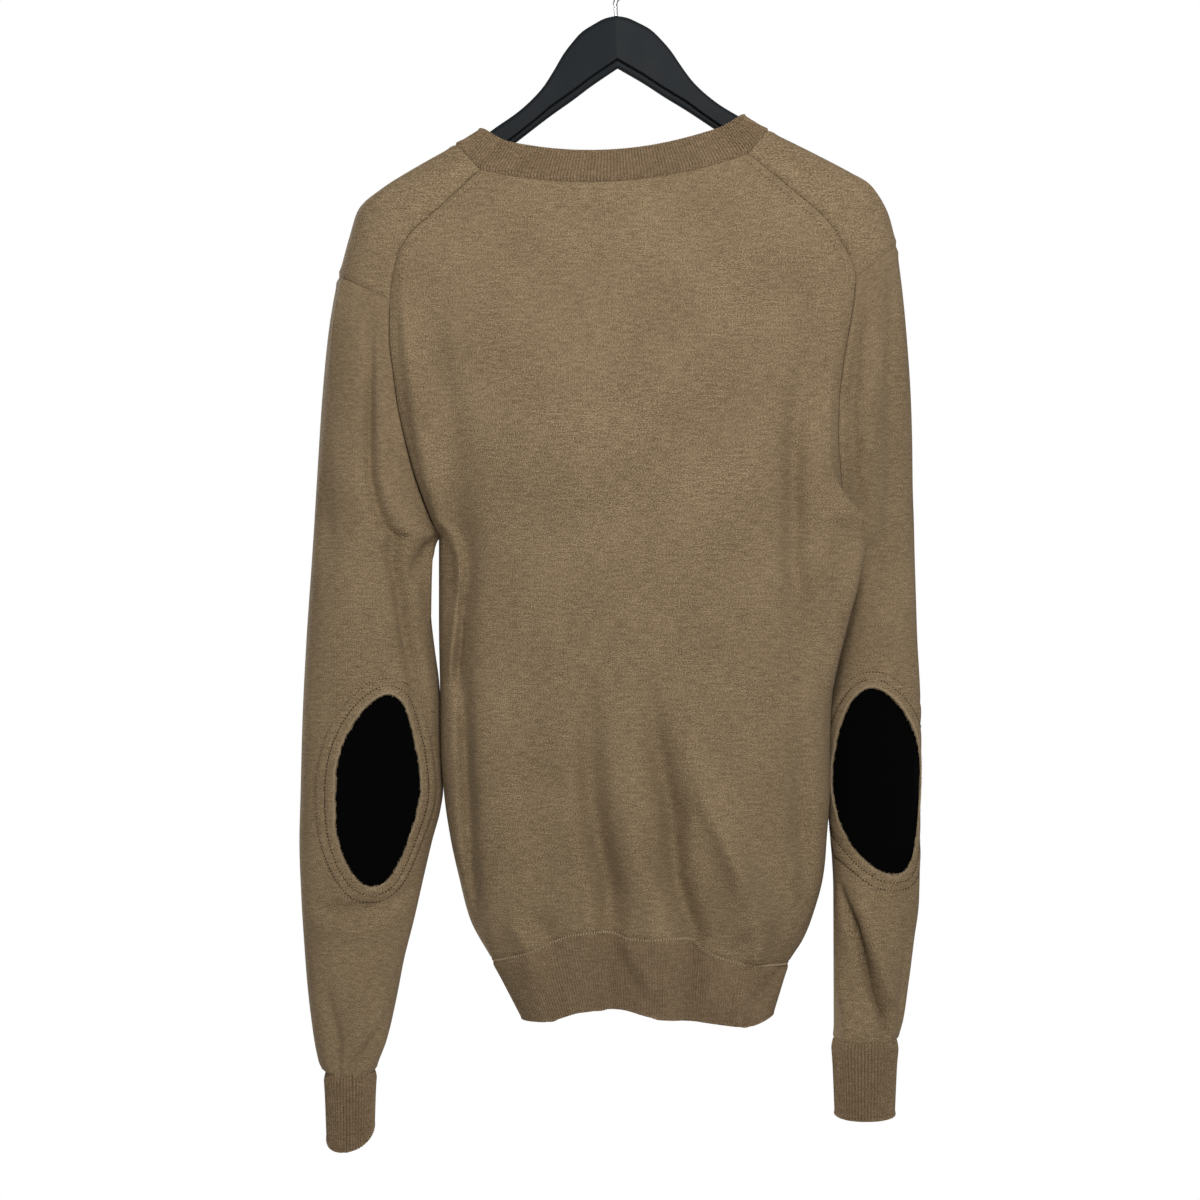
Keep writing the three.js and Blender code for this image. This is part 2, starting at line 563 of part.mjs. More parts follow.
// ---------------------------------------------------------------- the object
const FINISHES = {
  jersey: { color: '#82705a', roughness: 0.95, metalness: 0 },
  rib: { color: '#66543e', roughness: 0.95, metalness: 0 },
  patch: { color: '#060607', roughness: 1, metalness: 0 },
  plastic: { color: '#2b2d2f', roughness: 0.5, metalness: 0 },
  steel: { color: '#c8cacc', roughness: 0.25, metalness: 1 },
};

const sweater = new THREE.Group();
const hanger = new THREE.Group();
hanger.rotation.y = THREE.MathUtils.degToRad(-HANGER_ROLL);
const object = new THREE.Group();
object.add(sweater, hanger);

function add(group, name, geometry, finish) {
  const mesh = new THREE.Mesh(geometry, new THREE.MeshStandardMaterial(FINISHES[finish]));
  mesh.geometry.computeVertexNormals();
  mesh.name = name;
  group.add(mesh);
}

// Every piece of knitting: the grids that make its outer surface, its wall and its finish.
const pieces = [
  { name: 'back_panel', grids: [{ grid: backGrid }], thickness: JERSEY, finish: 'jersey' },
  {
    name: 'front_panel',
    grids: [{ grid: frontGrid, flip: true }, { grid: shoulders.left, flip: true }, { grid: shoulders.right }],
    thickness: JERSEY,
    finish: 'jersey',
  },
  { name: 'neck_rib', grids: [{ grid: neckGrid() }], thickness: RIB, finish: 'rib' },
  { name: 'hem_rib', grids: [{ grid: hemGrid() }], thickness: RIB, finish: 'rib' },
];
for (const hand of ['left', 'right']) {
  const flip = hand === 'left';
  const grids = sleeves[hand].map((grid) => ({ grid, flip }));
  pieces.push({ name: `sleeve_${hand}`, grids, thickness: JERSEY, finish: 'jersey' });
  pieces.push({ name: `cuff_rib_${hand}`, grids: [{ grid: cuffGrid(hand), flip }], thickness: RIB, finish: 'rib' });
}
const sheets = pieces.map((piece) => sheetOf(piece.grids));
const directions = outwardDirections(sheets);
pieces.forEach((piece, k) => add(sweater, piece.name, wall(sheets[k], piece.thickness, directions), piece.finish));
for (const hand of ['left', 'right']) {
  const sheet = sheetOf([{ grid: patchGrid(SLEEVES[hand]), flip: hand === 'right' }]);
  add(sweater, `elbow_patch_${hand}`, wall(sheet, PATCH, outwardDirections([sheet])), 'patch');
}
add(hanger, 'hanger_body', drilledHanger(), 'plastic');
add(hanger, 'hanger_hook', hookGeometry(), 'steel');

export default object;
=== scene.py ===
"""A worn, fine-gauge wool sweater on a moulded hanger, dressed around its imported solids.

Shapes are worked out in millimetres, in the frame of the solids, and become metres when a mesh is made.
The back of the sweater faces -Y. "Left" is the -X side, as seen by someone behind the sweater.
"""
import math
import bpy
import numpy as np
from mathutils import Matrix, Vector


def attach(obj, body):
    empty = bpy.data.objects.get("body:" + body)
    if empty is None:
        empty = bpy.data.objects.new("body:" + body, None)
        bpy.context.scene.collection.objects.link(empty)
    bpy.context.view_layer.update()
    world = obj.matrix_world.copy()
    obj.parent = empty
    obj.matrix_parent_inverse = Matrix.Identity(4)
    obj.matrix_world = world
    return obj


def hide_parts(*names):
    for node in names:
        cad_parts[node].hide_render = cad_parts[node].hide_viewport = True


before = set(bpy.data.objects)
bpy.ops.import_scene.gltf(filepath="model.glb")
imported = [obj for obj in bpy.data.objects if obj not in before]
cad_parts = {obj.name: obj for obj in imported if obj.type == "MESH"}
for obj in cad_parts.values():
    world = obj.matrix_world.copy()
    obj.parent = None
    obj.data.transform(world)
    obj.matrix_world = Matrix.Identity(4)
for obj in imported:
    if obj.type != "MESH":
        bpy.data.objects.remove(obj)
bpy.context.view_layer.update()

MM = 0.001
JERSEY_WALL = 1.3 * MM
RIB_WALL = 1.6 * MM
PATCH_WALL = 1.0 * MM
ROUNDNESS = 0.8                # power that makes body and sleeve sections fuller than ellipses
RIB_PITCH = 2.5                # from one rib to the next
RIB_HEIGHT = 0.9
STEPS_PER_RIB = 6


# ------------------------------------------------------------------ curves and small helpers
def through(*knots):
    """A smooth curve through (position, value) knots that never overshoots them."""
    at, value = np.array(sorted(knots), float).T
    slope = np.diff(value) / np.diff(at)
    before, after = slope[:-1], slope[1:]
    total = np.where(before * after > 0, before + after, 1.0)
    inner = np.where(before * after > 0, 2 * before * after / total, 0)
    tangent = np.concatenate([slope[:1], inner, slope[-1:]])

    def curve(x):
        x = np.clip(x, at[0], at[-1])
        k = np.clip(np.searchsorted(at, x, side="right") - 1, 0, len(at) - 2)
        step = at[k + 1] - at[k]
        s = (x - at[k]) / step
        ease = s * s * (3 - 2 * s)
        lead = s * (1 - s) ** 2 * step * tangent[k]
        trail = s * s * (s - 1) * step * tangent[k + 1]
        return value[k] + (value[k + 1] - value[k]) * ease + lead + trail
    return curve


def mix(a, b, s):
    return a + (b - a) * s


def power(value, exponent):
    return np.maximum(value, 0) ** exponent


def smooth(start, end, at):
    s = np.clip((at - start) / (end - start), 0, 1)
    return s * s * (3 - 2 * s)


def bump(distance, width):
    return np.exp(-(distance / width) ** 2)


def unit(vectors):
    return vectors / np.maximum(np.linalg.norm(vectors, axis=-1, keepdims=True), 1e-9)


def linked(name, data):
    """A new object in the scene that shows the given data."""
    made = bpy.data.objects.new(name, data)
    bpy.context.scene.collection.objects.link(made)
    return made


def mark_points(mesh, name, values):
    """Stores one number for each point of a mesh."""
    layer = mesh.attributes.new(name, "FLOAT", "POINT")
    layer.data.foreach_set("value", values.astype(np.float32))


def creases(x, z, folds):
    """Height of several soft folds at (x, z). A fold is (width, [(x, z, height), ...]) along its line."""
    total = np.zeros(np.broadcast(x, z).shape)
    for width, line in folds:
        nearest = np.full(total.shape, 1e9)
        height = np.zeros(total.shape)
        for (x0, z0, h0), (x1, z1, h1) in zip(line, line[1:]):
            s = ((x - x0) * (x1 - x0) + (z - z0) * (z1 - z0)) / ((x1 - x0) ** 2 + (z1 - z0) ** 2)
            s = np.clip(s, 0, 1)
            away = np.hypot(x - mix(x0, x1, s), z - mix(z0, z1, s))
            closer = away < nearest
            nearest = np.where(closer, away, nearest)
            height = np.where(closer, mix(h0, h1, s), height)
        total += height * bump(nearest, width)
    return total


# ------------------------------------------------------------------ the two sides of the sweater
class Side:
    """One side: where its seam runs, and the shoulder's outline across from each height of that seam."""

    def __init__(self, hem, underarm, armhole_top, neck, seam_x, outline_x, outline_z, roll):
        self.hem, self.underarm, self.armhole_top, self.neck = hem, underarm, armhole_top, neck
        self.seam_x, self.outline_x, self.outline_z = seam_x, outline_x, outline_z
        self.roll = roll


NECK_DEPTH = 20                # half depth of the body where the shoulder seam meets the neck
ARMHOLE_DEPTH = 33             # half depth at the top of the armhole
ROLL_PLACE = 0.3               # where the fold over the right sleeve is widest, from seam to middle

LEFT = Side(
    -775, -451, -275, -175,
    through((-775, -91), (-743, -108), (-712, -116), (-682, -122.5), (-648, -127.5), (-614, -130),
            (-575, -130.5), (-515, -131.5), (-451, -131.5), (-444, -135), (-407, -149), (-378, -156.5),
            (-350, -162), (-330, -164.5), (-302, -167.5), (-275, -167), (-245, -162.5), (-227, -154),
            (-205, -131), (-175, -100)),
    through((-275, -208.3), (-258, -200), (-245, -193), (-227, -177), (-205, -151), (-175, -118.6)),
    through((-275, -255), (-258, -224), (-245, -203), (-227, -188.5), (-205, -172), (-175, -153.8)),
    lambda z: 0 * z)
RIGHT = Side(
    -777, -458, -259, -163,
    through((-777, 132), (-758, 144), (-743, 150), (-712, 158.5), (-697, 160.4), (-682, 161.4), (-667, 162.6),
            (-650, 163.8), (-636, 164.2), (-606, 164), (-590, 164.4), (-575, 165.4), (-545, 168),
            (-515, 170.5), (-484, 174), (-458, 176), (-431, 174), (-402, 171), (-375, 169), (-350, 169.4),
            (-326, 172), (-295, 177), (-276, 180), (-259, 181.4), (-230, 170.5), (-216, 161), (-190, 133),
            (-163, 101.5)),
    through((-259, 215.1), (-245, 208.5), (-230, 194), (-216, 181), (-190, 149), (-163, 117)),
    through((-259, -231.3), (-245, -206), (-230, -183.5), (-216, -175.8), (-190, -159), (-163, -143.2)),
    through((-600, 0), (-585, 1.5), (-567, 6), (-533, 14), (-513, 18), (-493, 22), (-474, 24), (-456, 25.5),
            (-446, 29.5), (-440, 33.5), (-438, 34.5), (-435, 33), (-430, 30), (-421, 23.5), (-410, 17),
            (-394, 13), (-375, 8), (-350, 0)))

body_depth = through((-777, 60), (-650, 64), (-500, 64), (-400, 60), (-300, 52), (-250, 46), (-200, 38),
                     (-163, 31))
NECK_HALF_WIDTH = 118
BACK_NECK_DROP = 17
FRONT_NECK_DROP = 68
hem_lift = through((0, 3), (0.12, 12.7), (0.21, 21.3), (0.27, 27.2), (0.36, 30), (0.41, 28.8), (0.47, 25.5),
                   (0.52, 25.3), (0.58, 26.5), (0.66, 25), (0.71, 17), (0.79, 9.7), (0.84, 7), (1, 3))
BELOW_ARM, BELOW_SHOULDER = 11 / 24, 18 / 24   # shares of the rows below the underarm and below the shoulder


def seam_depth(side, z):
    """Half depth of the body at its seam: nothing at the underarm, opening into the armhole above it."""
    down = np.clip((side.armhole_top - z) / (side.armhole_top - side.underarm), 0, 1)
    armhole = ARMHOLE_DEPTH * np.sqrt(1 - down ** 3)
    up = power((z - side.armhole_top) / (side.neck - side.armhole_top), 1.6)
    return np.where(z >= side.armhole_top, mix(ARMHOLE_DEPTH, NECK_DEPTH, up), armhole)


def row_height(side, v):
    """Height of row v on one side, 0 at the hem seam and 1 at the neck."""
    low = mix(side.hem, side.underarm, v / BELOW_ARM)
    armhole = power((v - BELOW_ARM) / (BELOW_SHOULDER - BELOW_ARM), 1.4)
    high = mix(side.armhole_top, side.neck, (v - BELOW_SHOULDER) / (1 - BELOW_SHOULDER))
    middle = mix(side.underarm, side.armhole_top, armhole)
    return np.where(v <= BELOW_ARM, low, np.where(v <= BELOW_SHOULDER, middle, high))


# ------------------------------------------------------------------ folds placed one by one
BACK_FOLDS = [
    (8, [(-160, -247, 2), (-158, -268, 4), (-153, -317, 6), (-144, -383, 7), (-134, -433, 6),
         (-130, -448, 3)]),
    (12, [(-146, -255, -1), (-131, -317, -4), (-119, -383, -5), (-116, -449, -5), (-114, -500, -4)]),
    (6, [(-108, -440, 0), (-109, -500, -5), (-112, -560, -7), (-111, -603, -13), (-109, -648, -13),
         (-106, -703, -11), (-101, -745, -4)]),
    (9, [(172, -270, 2), (166, -320, 5), (163, -360, 6), (165, -400, 6), (171, -435, 5)]),
    (9, [(150, -285, -1), (144, -320, -3), (137, -353, -7), (134, -385, -10), (134, -430, -12),
         (134, -470, -11), (136, -510, -7), (140, -560, -4)]),
    (8, [(137, -580, 0), (139, -620, -6), (141, -670, -9), (143, -725, -5)]),
    (7, [(186, -420, 3), (190, -440, 5), (184, -470, 4), (176, -510, 3), (168, -550, 2)]),
    (10, [(-19, -550, 0), (-18, -590, -9), (-17, -640, -15), (-10, -680, -18), (-3, -712, -18),
          (2, -755, -10)]),
    (12, [(5, -600, 0), (12, -650, 4), (20, -700, 6), (30, -750, 6)]),
    (9, [(27, -550, 0), (29, -590, -8), (36, -625, -13), (43, -655, -16), (47, -708, -18), (60, -750, -12)]),
    (9, [(52, -580, 0), (58, -609, 4), (67, -645, 7), (78, -669, 9), (88, -691, 9), (100, -712, 8),
         (112, -735, 5)]),
    (14, [(80, -640, 0), (88, -680, 6), (95, -715, 11), (100, -740, 14), (102, -756, 8)]),
    (9, [(98, -640, 0), (112, -680, -2), (122, -712, -3), (128, -740, -2)]),
    (3.5, [(-112, -480, 0), (-113, -503, -8), (-116, -548, -8), (-118, -580, 0)]),
    (4.5, [(-129, -442, 3), (-120, -453, 6), (-115, -470, 7), (-114, -498, 7), (-118, -526, 6),
           (-124, -552, 3)]),
    (6, [(-78, -738, 0), (-70, -750, 5), (-62, -762, 4)]),
    (7, [(-60, -725, 0), (-50, -745, -5), (-44, -758, -4)]),
    (6, [(120, -735, 0), (112, -752, 5), (106, -768, 4)]),
    (7, [(96, -745, 0), (90, -758, -4), (86, -768, -3)]),
    (30, [(-60, -330, 0), (-20, -420, 3), (20, -480, 0)]),
    (22, [(-84, -480, 0), (-70, -560, -4), (-60, -660, -5), (-52, -740, -3)]),
    (24, [(90, -420, 0), (96, -520, -4), (104, -600, 0)]),
    (16, [(-70, -180, 0), (-20, -196, 2), (40, -196, 2), (80, -182, 0)]),
]
FRONT_FOLDS = [
    (11, [(-60, -540, 0), (-54, -620, -6), (-44, -700, -8), (-34, -755, -5)]),
    (12, [(20, -500, 0), (26, -600, -6), (36, -690, -8), (44, -755, -5)]),
    (9, [(84, -580, 0), (92, -650, 7), (99, -710, 7), (100, -745, 4)]),
    (14, [(-20, -600, 0), (-12, -680, 5), (-4, -750, 4)]),
    (11, [(-146, -270, -1), (-132, -320, -5), (-114, -380, -7), (-110, -600, -6), (-100, -720, -5)]),
    (12, [(152, -265, -1), (140, -330, -5), (132, -400, -7), (132, -600, -6), (138, -700, -5)]),
    (8, [(-158, -280, 3), (-148, -340, 6), (-138, -400, 6), (-130, -440, 2)]),
    (9, [(166, -280, 2), (154, -340, 5), (148, -420, 4)]),
    (28, [(60, -330, 0), (20, -400, 4), (-30, -460, 0)]),
    (9, [(-70, -250, 0), (-40, -275, -3), (0, -285, -4), (40, -278, -3), (72, -250, 0)]),
]


def gathers(x):
    """Small, uneven ripples where a panel is drawn in by the hem band."""
    size = 1.9 + 0.9 * np.sin(x / 31)
    return size * np.sin(x / 5.5 + 1.3 * np.sin(x / 17))


def body_points(face, u, v):
    """Points of the back (face -1) or front (+1). u runs from the left seam to the right, v from the hem to
    the neck."""
    low, high = row_height(LEFT, v), row_height(RIGHT, v)
    depth = body_depth(mix(low, high, u))
    left_x, right_x = LEFT.seam_x(low), RIGHT.seam_x(high)
    middle = (left_x + right_x) / 2
    on_left = u < 0.5
    seam_y = np.where(on_left, seam_depth(LEFT, low), seam_depth(RIGHT, high))
    inwards = np.where(on_left, 2 * u, 2 * (1 - u))
    start = np.arcsin(power(seam_y / depth, 1 / ROUNDNESS))
    angle = mix(start, np.pi / 2, inwards)
    reach = (middle - np.where(on_left, left_x, right_x)) / np.cos(start)
    x = middle - reach * np.cos(angle)
    if face < 0:
        share = inwards / ROLL_PLACE
        x = x + np.where(on_left, 0, RIGHT.roll(high)) * share ** 4 * np.exp(4 - 4 * share)
    across = np.clip((x - left_x) / (right_x - left_x), 0, 1)
    dip = 1 - np.abs(2 * across - 1) ** (2 if face < 0 else 2.6)
    drop = BACK_NECK_DROP * smooth(0.7, 1, v) if face < 0 else FRONT_NECK_DROP * smooth(0.4, 1, v) ** 1.5
    lift = hem_lift(across if face < 0 else 1 - across) * power(1 - v / 0.3, 2)
    z = mix(low, high, across) - drop * dip + lift
    raised = creases(x, z, BACK_FOLDS if face < 0 else FRONT_FOLDS) * smooth(0, 0.09, inwards)
    gather = gathers(x) * bump(v, 0.05) * smooth(0, 0.3, inwards)
    y = face * (depth * np.sin(angle) ** ROUNDNESS + raised + gather)
    return np.stack([x, y, z], -1)


# ------------------------------------------------------------------ sleeves
class Sleeve:
    """One sleeve. inner and outer are its edges, back and front its half depths; sway and tuck are how far
    its outer and inner edges hang towards the front; lift is the rise of its head over the seam's ends."""

    def __init__(self, hand, side, cuff, lift, inner, outer, back, front, sway, tuck, hole, folds, girth):
        self.hand, self.side, self.cuff, self.lift = hand, side, cuff, lift
        self.inner, self.outer, self.back, self.front = inner, outer, back, front
        self.sway, self.tuck, self.hole, self.folds, self.girth = sway, tuck, hole, folds, girth


# A fold on a sleeve is (width, [(share of the way round, height, size), ...]). A cut-out has its middle at a
# share of the way round and a height z, half its width as a share, half its height (tall), the share that the
# cloth behind it reaches beyond it, and the shares that its top and its bottom lean aside.
FRONT_ELBOW_FOLD = (9, [(0.60, -560, 0), (0.70, -575, -5), (0.82, -580, -6), (0.93, -566, 0)])
SLEEVES = {
    "left": Sleeve(
        "left", LEFT, -858, 20,
        through((-858, -181.7), (-834, -172), (-804, -165), (-773, -159), (-743, -151.5), (-712, -144.5),
                (-682, -137.5), (-660, -131.6), (-644, -129.4), (-606, -131.2), (-575, -131.6),
                (-559, -132.8),
                (-540, -135.4), (-515, -138.3), (-477, -140.6), (-460, -137.6), (-451, -131.5)),
        through((-858, -217.5), (-849, -223.5), (-819, -229), (-788, -232.6), (-758, -235), (-728, -237),
                (-682, -238.7), (-652, -238), (-591, -236.4), (-530, -233.3), (-469, -229), (-408, -225),
                (-348, -221), (-302, -216.6), (-272, -212), (-255, -208.3)),
        through((-858, 24), (-790, 27), (-720, 31), (-640, 34), (-560, 33), (-451, 34), (-400, 36),
                (-310, 36), (-275, 33)),
        through((-858, 24), (-790, 29), (-720, 34), (-640, 37), (-560, 37), (-451, 36), (-400, 37),
                (-310, 36), (-275, 33)),
        through((-858, 0), (-640, 6), (-451, 4), (-330, 2), (-275, 0)),
        through((-858, 0), (-640, 6), (-500, 3), (-451, 0)),
        dict(at=0.2255, half=0.104, z=-642.6, tall=72.6, margin=0.045, lean=(-0.022, -0.014)),
        [(8, [(0.30, -262, 0), (0.34, -290, 2), (0.38, -335, 0)]),
         (9, [(0.06, -462, -3), (0.10, -478, -4), (0.14, -500, 0)]),
         (6, [(0.40, -728, 0), (0.34, -733, -4), (0.22, -733, -5), (0.12, -722, -3), (0.05, -712, 0)]),
         (9, [(0.42, -742, 0), (0.34, -746, 3), (0.22, -747, 4), (0.12, -738, 2)]),
         (7, [(0.06, -812, 0), (0.12, -830, -4), (0.22, -852, -4)]),
         (9, [(0.36, -780, 0), (0.33, -805, -4), (0.30, -832, -5), (0.30, -850, -3)]),
         (10, [(0.26, -775, 0), (0.22, -800, 3), (0.2, -830, 3)]),
         (14, [(0.36, -380, 0), (0.38, -440, -3), (0.36, -520, 0)]),
         (14, [(0.12, -520, 0), (0.10, -560, 3), (0.08, -600, 0)]),
         FRONT_ELBOW_FOLD,
         (9, [(0.58, -600, 0), (0.70, -618, -6), (0.82, -622, -6), (0.93, -606, 0)]),
         (9, [(0.60, -650, 0), (0.72, -660, -5), (0.84, -662, -5), (0.93, -650, 0)]),
         (8, [(0.10, -300, -2), (0.126, -348, -7), (0.18, -408, -9), (0.19, -450, -9), (0.15, -490, -9),
              (0.137, -530, -9), (0.12, -575, -6), (0.10, -610, 0)]),
         (4, [(0.01, -446, 2), (0.022, -462, 5), (0.035, -480, 5), (0.03, -510, 2)]),
         (11, [(0.62, -760, 0), (0.72, -800, -4), (0.76, -840, -4)])],
        315),
    "right": Sleeve(
        "right", RIGHT, -834, 27.7,
        through((-834, 167.9), (-720, 167.9), (-697, 167), (-682, 165.8), (-667, 165), (-636, 165),
                (-606, 164.9),
                (-590, 165.4), (-576, 167), (-545, 173), (-515, 179), (-484, 183), (-468, 183), (-458, 176)),
        through((-834, 215), (-819, 220.4), (-788, 225), (-758, 228.7), (-728, 232.5), (-697, 233.3),
                (-667, 233.5), (-621, 234.8), (-576, 234.8), (-530, 233.3), (-469, 232.5), (-439, 231.8),
                (-408, 230.3), (-348, 227.2), (-302, 223.4), (-272, 220.4), (-231.3, 215.1)),
        through((-834, 22), (-720, 25), (-640, 25), (-560, 24), (-510, 21), (-458, 15), (-430, 22),
                (-400, 28), (-360, 33), (-300, 35), (-259, 33)),
        through((-834, 22), (-790, 30), (-720, 41), (-640, 46), (-560, 44), (-458, 36), (-360, 36),
                (-300, 35), (-259, 33)),
        through((-834, 0), (-720, 2), (-640, 6), (-560, 14), (-510, 22), (-458, 28), (-430, 28), (-380, 15),
                (-320, 4), (-259, 0)),
        through((-834, 0), (-720, 2), (-640, 6), (-560, 14), (-500, 14), (-475, 10), (-458, 0)),
        dict(at=0.257, half=0.226, z=-636, tall=70.5, margin=0.02, lean=(-0.036, 0.05)),
        [(4.5, [(0.06, -712, 0), (0.09, -725, -6), (0.15, -744, -10), (0.196, -766, -12), (0.242, -792, -11),
                (0.335, -824, -7)]),
         (7, [(0.13, -708, 0), (0.2, -738, 5), (0.26, -768, 7), (0.32, -798, 6)]),
         (8, [(0.04, -760, 0), (0.09, -790, 4), (0.14, -826, 3)]),
         (9, [(0.36, -735, 0), (0.40, -760, -3), (0.42, -800, -4), (0.42, -826, -2)]),
         (12, [(0.30, -262, 0), (0.27, -330, -4), (0.25, -420, -5), (0.22, -460, -3), (0.2, -520, 0)]),
         (9, [(0.05, -268, 0), (0.055, -300, -4), (0.06, -340, -6), (0.06, -380, -6), (0.06, -430, -5)]),
         (12, [(0.38, -400, 0), (0.36, -470, 3), (0.36, -550, 0)]),
         FRONT_ELBOW_FOLD,
         (9, [(0.58, -610, 0), (0.70, -628, -6), (0.82, -632, -6), (0.93, -616, 0)]),
         (10, [(0.62, -740, 0), (0.72, -780, -5), (0.76, -820, -4)])],
        215),
}


def sleeve_points(sleeve, c, height):
    """Points of a sleeve: c runs round it, 0 and 1 at its seam and 0.5 at its outer edge."""
    side = sleeve.side
    behind = c < 0.5
    around = np.where(behind, 2 * c, 2 * (1 - c))
    depth = np.where(behind, sleeve.back(height), sleeve.front(height))
    is_open = height > side.underarm
    seam_x = np.where(is_open, side.seam_x(height), sleeve.inner(height))
    tuck = np.where(is_open, 0, sleeve.tuck(height))
    seam_y = np.where(is_open, seam_depth(side, height), 0)
    start = np.arcsin(np.clip(power(seam_y / depth, 1 / ROUNDNESS), 0, 1))
    angle = mix(start, np.pi, around)
    out = (np.cos(start) - np.cos(angle)) / (1 + np.cos(start))
    lift = sleeve.lift * smooth(side.underarm, side.armhole_top, height) ** 2
    outer_x = sleeve.outer(height + lift)
    raised = creases(c * sleeve.girth, height, [
        (width, [(at * sleeve.girth, z, size) for at, z, size in line]) for width, line in sleeve.folds])
    raised = raised * smooth(0, 0.06, around)
    half_width = np.abs(outer_x - seam_x) / 2
    lean_x = -np.cos(angle) / half_width * np.sign(outer_x - seam_x)
    lean_y = np.where(behind, -1, 1) * np.sin(angle) / depth
    lean = np.hypot(lean_x, lean_y)
    x = mix(seam_x, outer_x, out) + raised * lean_x / lean
    bulge = np.where(behind, -1, 1) * depth * power(np.sin(angle), ROUNDNESS)
    y = bulge + mix(tuck, sleeve.sway(height), out) + raised * lean_y / lean
    return np.stack([x, y, height + lift * out], -1)


INNER_EDGE, OUTER_EDGE = 0.4, 2.2     # phases that make the two edges of a cut-out uneven in different ways


def ragged(height, phase):
    """Small unevenness of a torn edge, in mm."""
    fine = 0.6 * np.sin(height / 2.1 + phase) * np.sin(height / 5.3 + 2 * phase)
    return fine + 0.5 * np.sin(height / 9.7 + phase)


OVAL_ABOVE, OVAL_BELOW = 0.52, 0.43   # powers of the cut-out's halves: 0.5 is an ellipse, less is fuller


def hole_middle(sleeve, height):
    """Where the cut-out's middle lies round the sleeve: its top and its bottom lean by the given shares."""
    hole = sleeve.hole
    up = np.clip((height - hole["z"]) / hole["tall"], -1, 1)
    top, bottom = hole["lean"]
    return hole["at"] + np.where(up > 0, top, bottom) * up * up


def flattened(share):
    """Distance from the middle of a sleeve's back, as seen from behind, for a share of the way round it."""
    turn = 2 * np.pi * np.clip(share, -0.25, 0.25)
    return (np.sin(turn) + 2 * np.pi * (share - np.clip(share, -0.25, 0.25))) / (2 * np.pi)


def unflattened(place):
    turn = np.clip(2 * np.pi * place, -1, 1)
    return np.arcsin(turn) / (2 * np.pi) + place - turn / (2 * np.pi)


def hole_edges(sleeve, height):
    """Both edges of the cut-out round the sleeve, which meet above and below it."""
    hole = sleeve.hole
    up = np.clip((height - hole["z"]) / hole["tall"], -1, 1)
    share = power(1 - up ** 2, np.where(up > 0, OVAL_ABOVE, OVAL_BELOW))
    middle, half = hole_middle(sleeve, height), unflattened(flattened(hole["half"]) * share)
    uneven = share / sleeve.girth
    inner = middle - half + uneven * ragged(height, INNER_EDGE)
    outer = middle + half + uneven * ragged(height, OUTER_EDGE)
    return inner, outer


def beyond_hole(sleeve, c, height):
    """How far a point of the sleeve lies outside the cut-out's edge, in mm."""
    hole = sleeve.hole
    wide = flattened(hole["half"]) * sleeve.girth
    across = flattened(np.mod(c - hole_middle(sleeve, height) + 0.5, 1) - 0.5) * sleeve.girth / wide
    up = (height - hole["z"]) / hole["tall"]
    radius = np.maximum(np.hypot(across, up), 1e-6)
    slope = np.hypot(across / radius / wide, up / radius / hole["tall"])
    return (radius - 1) / slope


# ------------------------------------------------------------------ meshes from grids of points
SAME_POINT = 0.02 * MM         # points closer than about this are joined


class Piece:
    """Grids of points that join into one sheet, with a map in metres that follows the knitting."""

    def __init__(self, name):
        self.name = name
        self.points, self.maps, self.marks, self.faces, self.count = [], [], [], [], 0

    def grid(self, points, across, along, flip=False, mark=0.0):
        rows, columns = points.shape[:2]
        ids = self.count + np.arange(rows * columns).reshape(rows, columns)
        quads = np.stack([ids[:-1, :-1], ids[:-1, 1:], ids[1:, 1:], ids[1:, :-1]], -1).reshape(-1, 4)
        self.faces.append(quads[:, ::-1] if flip else quads)
        self.points.append(points.reshape(-1, 3))
        spread = [np.broadcast_to(part, (rows, columns)).ravel() for part in (across, along, mark)]
        self.maps.append(np.stack(spread[:2], -1))
        self.marks.append(spread[2])
        self.count += rows * columns
        return self

    def mesh(self):
        """The joined sheet as an object, its map stored as 'knit' and its marks as 'worn'."""
        points, maps = np.concatenate(self.points) * MM, np.concatenate(self.maps) * MM
        faces = np.concatenate(self.faces)
        keys = np.round(points / SAME_POINT).astype(np.int64)
        _, first, same = np.unique(keys, axis=0, return_index=True, return_inverse=True)
        same = same.ravel()
        joined = same[faces]
        keep = np.array([len(set(face)) > 2 for face in joined.tolist()])
        joined, faces = joined[keep], faces[keep]
        polygons, corners = [], []
        for merged, original in zip(joined.tolist(), faces.tolist()):
            face, places = [], []
            for a, b in zip(merged, original):
                if a not in face:
                    face.append(a)
                    places.append(b)
            polygons.append(face)
            corners.extend(places)
        mesh = bpy.data.meshes.new(self.name)
        mesh.from_pydata(points[first].tolist(), [], polygons)
        layer = mesh.uv_layers.new(name="knit")
        layer.data.foreach_set("uv", maps[corners].astype(np.float32).ravel())
        mark_points(mesh, "worn", np.concatenate(self.marks)[first])
        mesh.polygons.foreach_set("use_smooth", np.ones(len(mesh.polygons), bool))
        mesh.update()
        return linked(self.name, mesh)


def made_plain(made):
    """Turns what an object's modifiers show into its own mesh."""
    bpy.context.view_layer.update()
    depsgraph = bpy.context.evaluated_depsgraph_get()
    mesh = bpy.data.meshes.new_from_object(made.evaluated_get(depsgraph))
    made.modifiers.clear()
    old = made.data
    made.data = mesh
    if isinstance(old, bpy.types.Mesh):
        bpy.data.meshes.remove(old)
    mesh.name = made.name
    return made


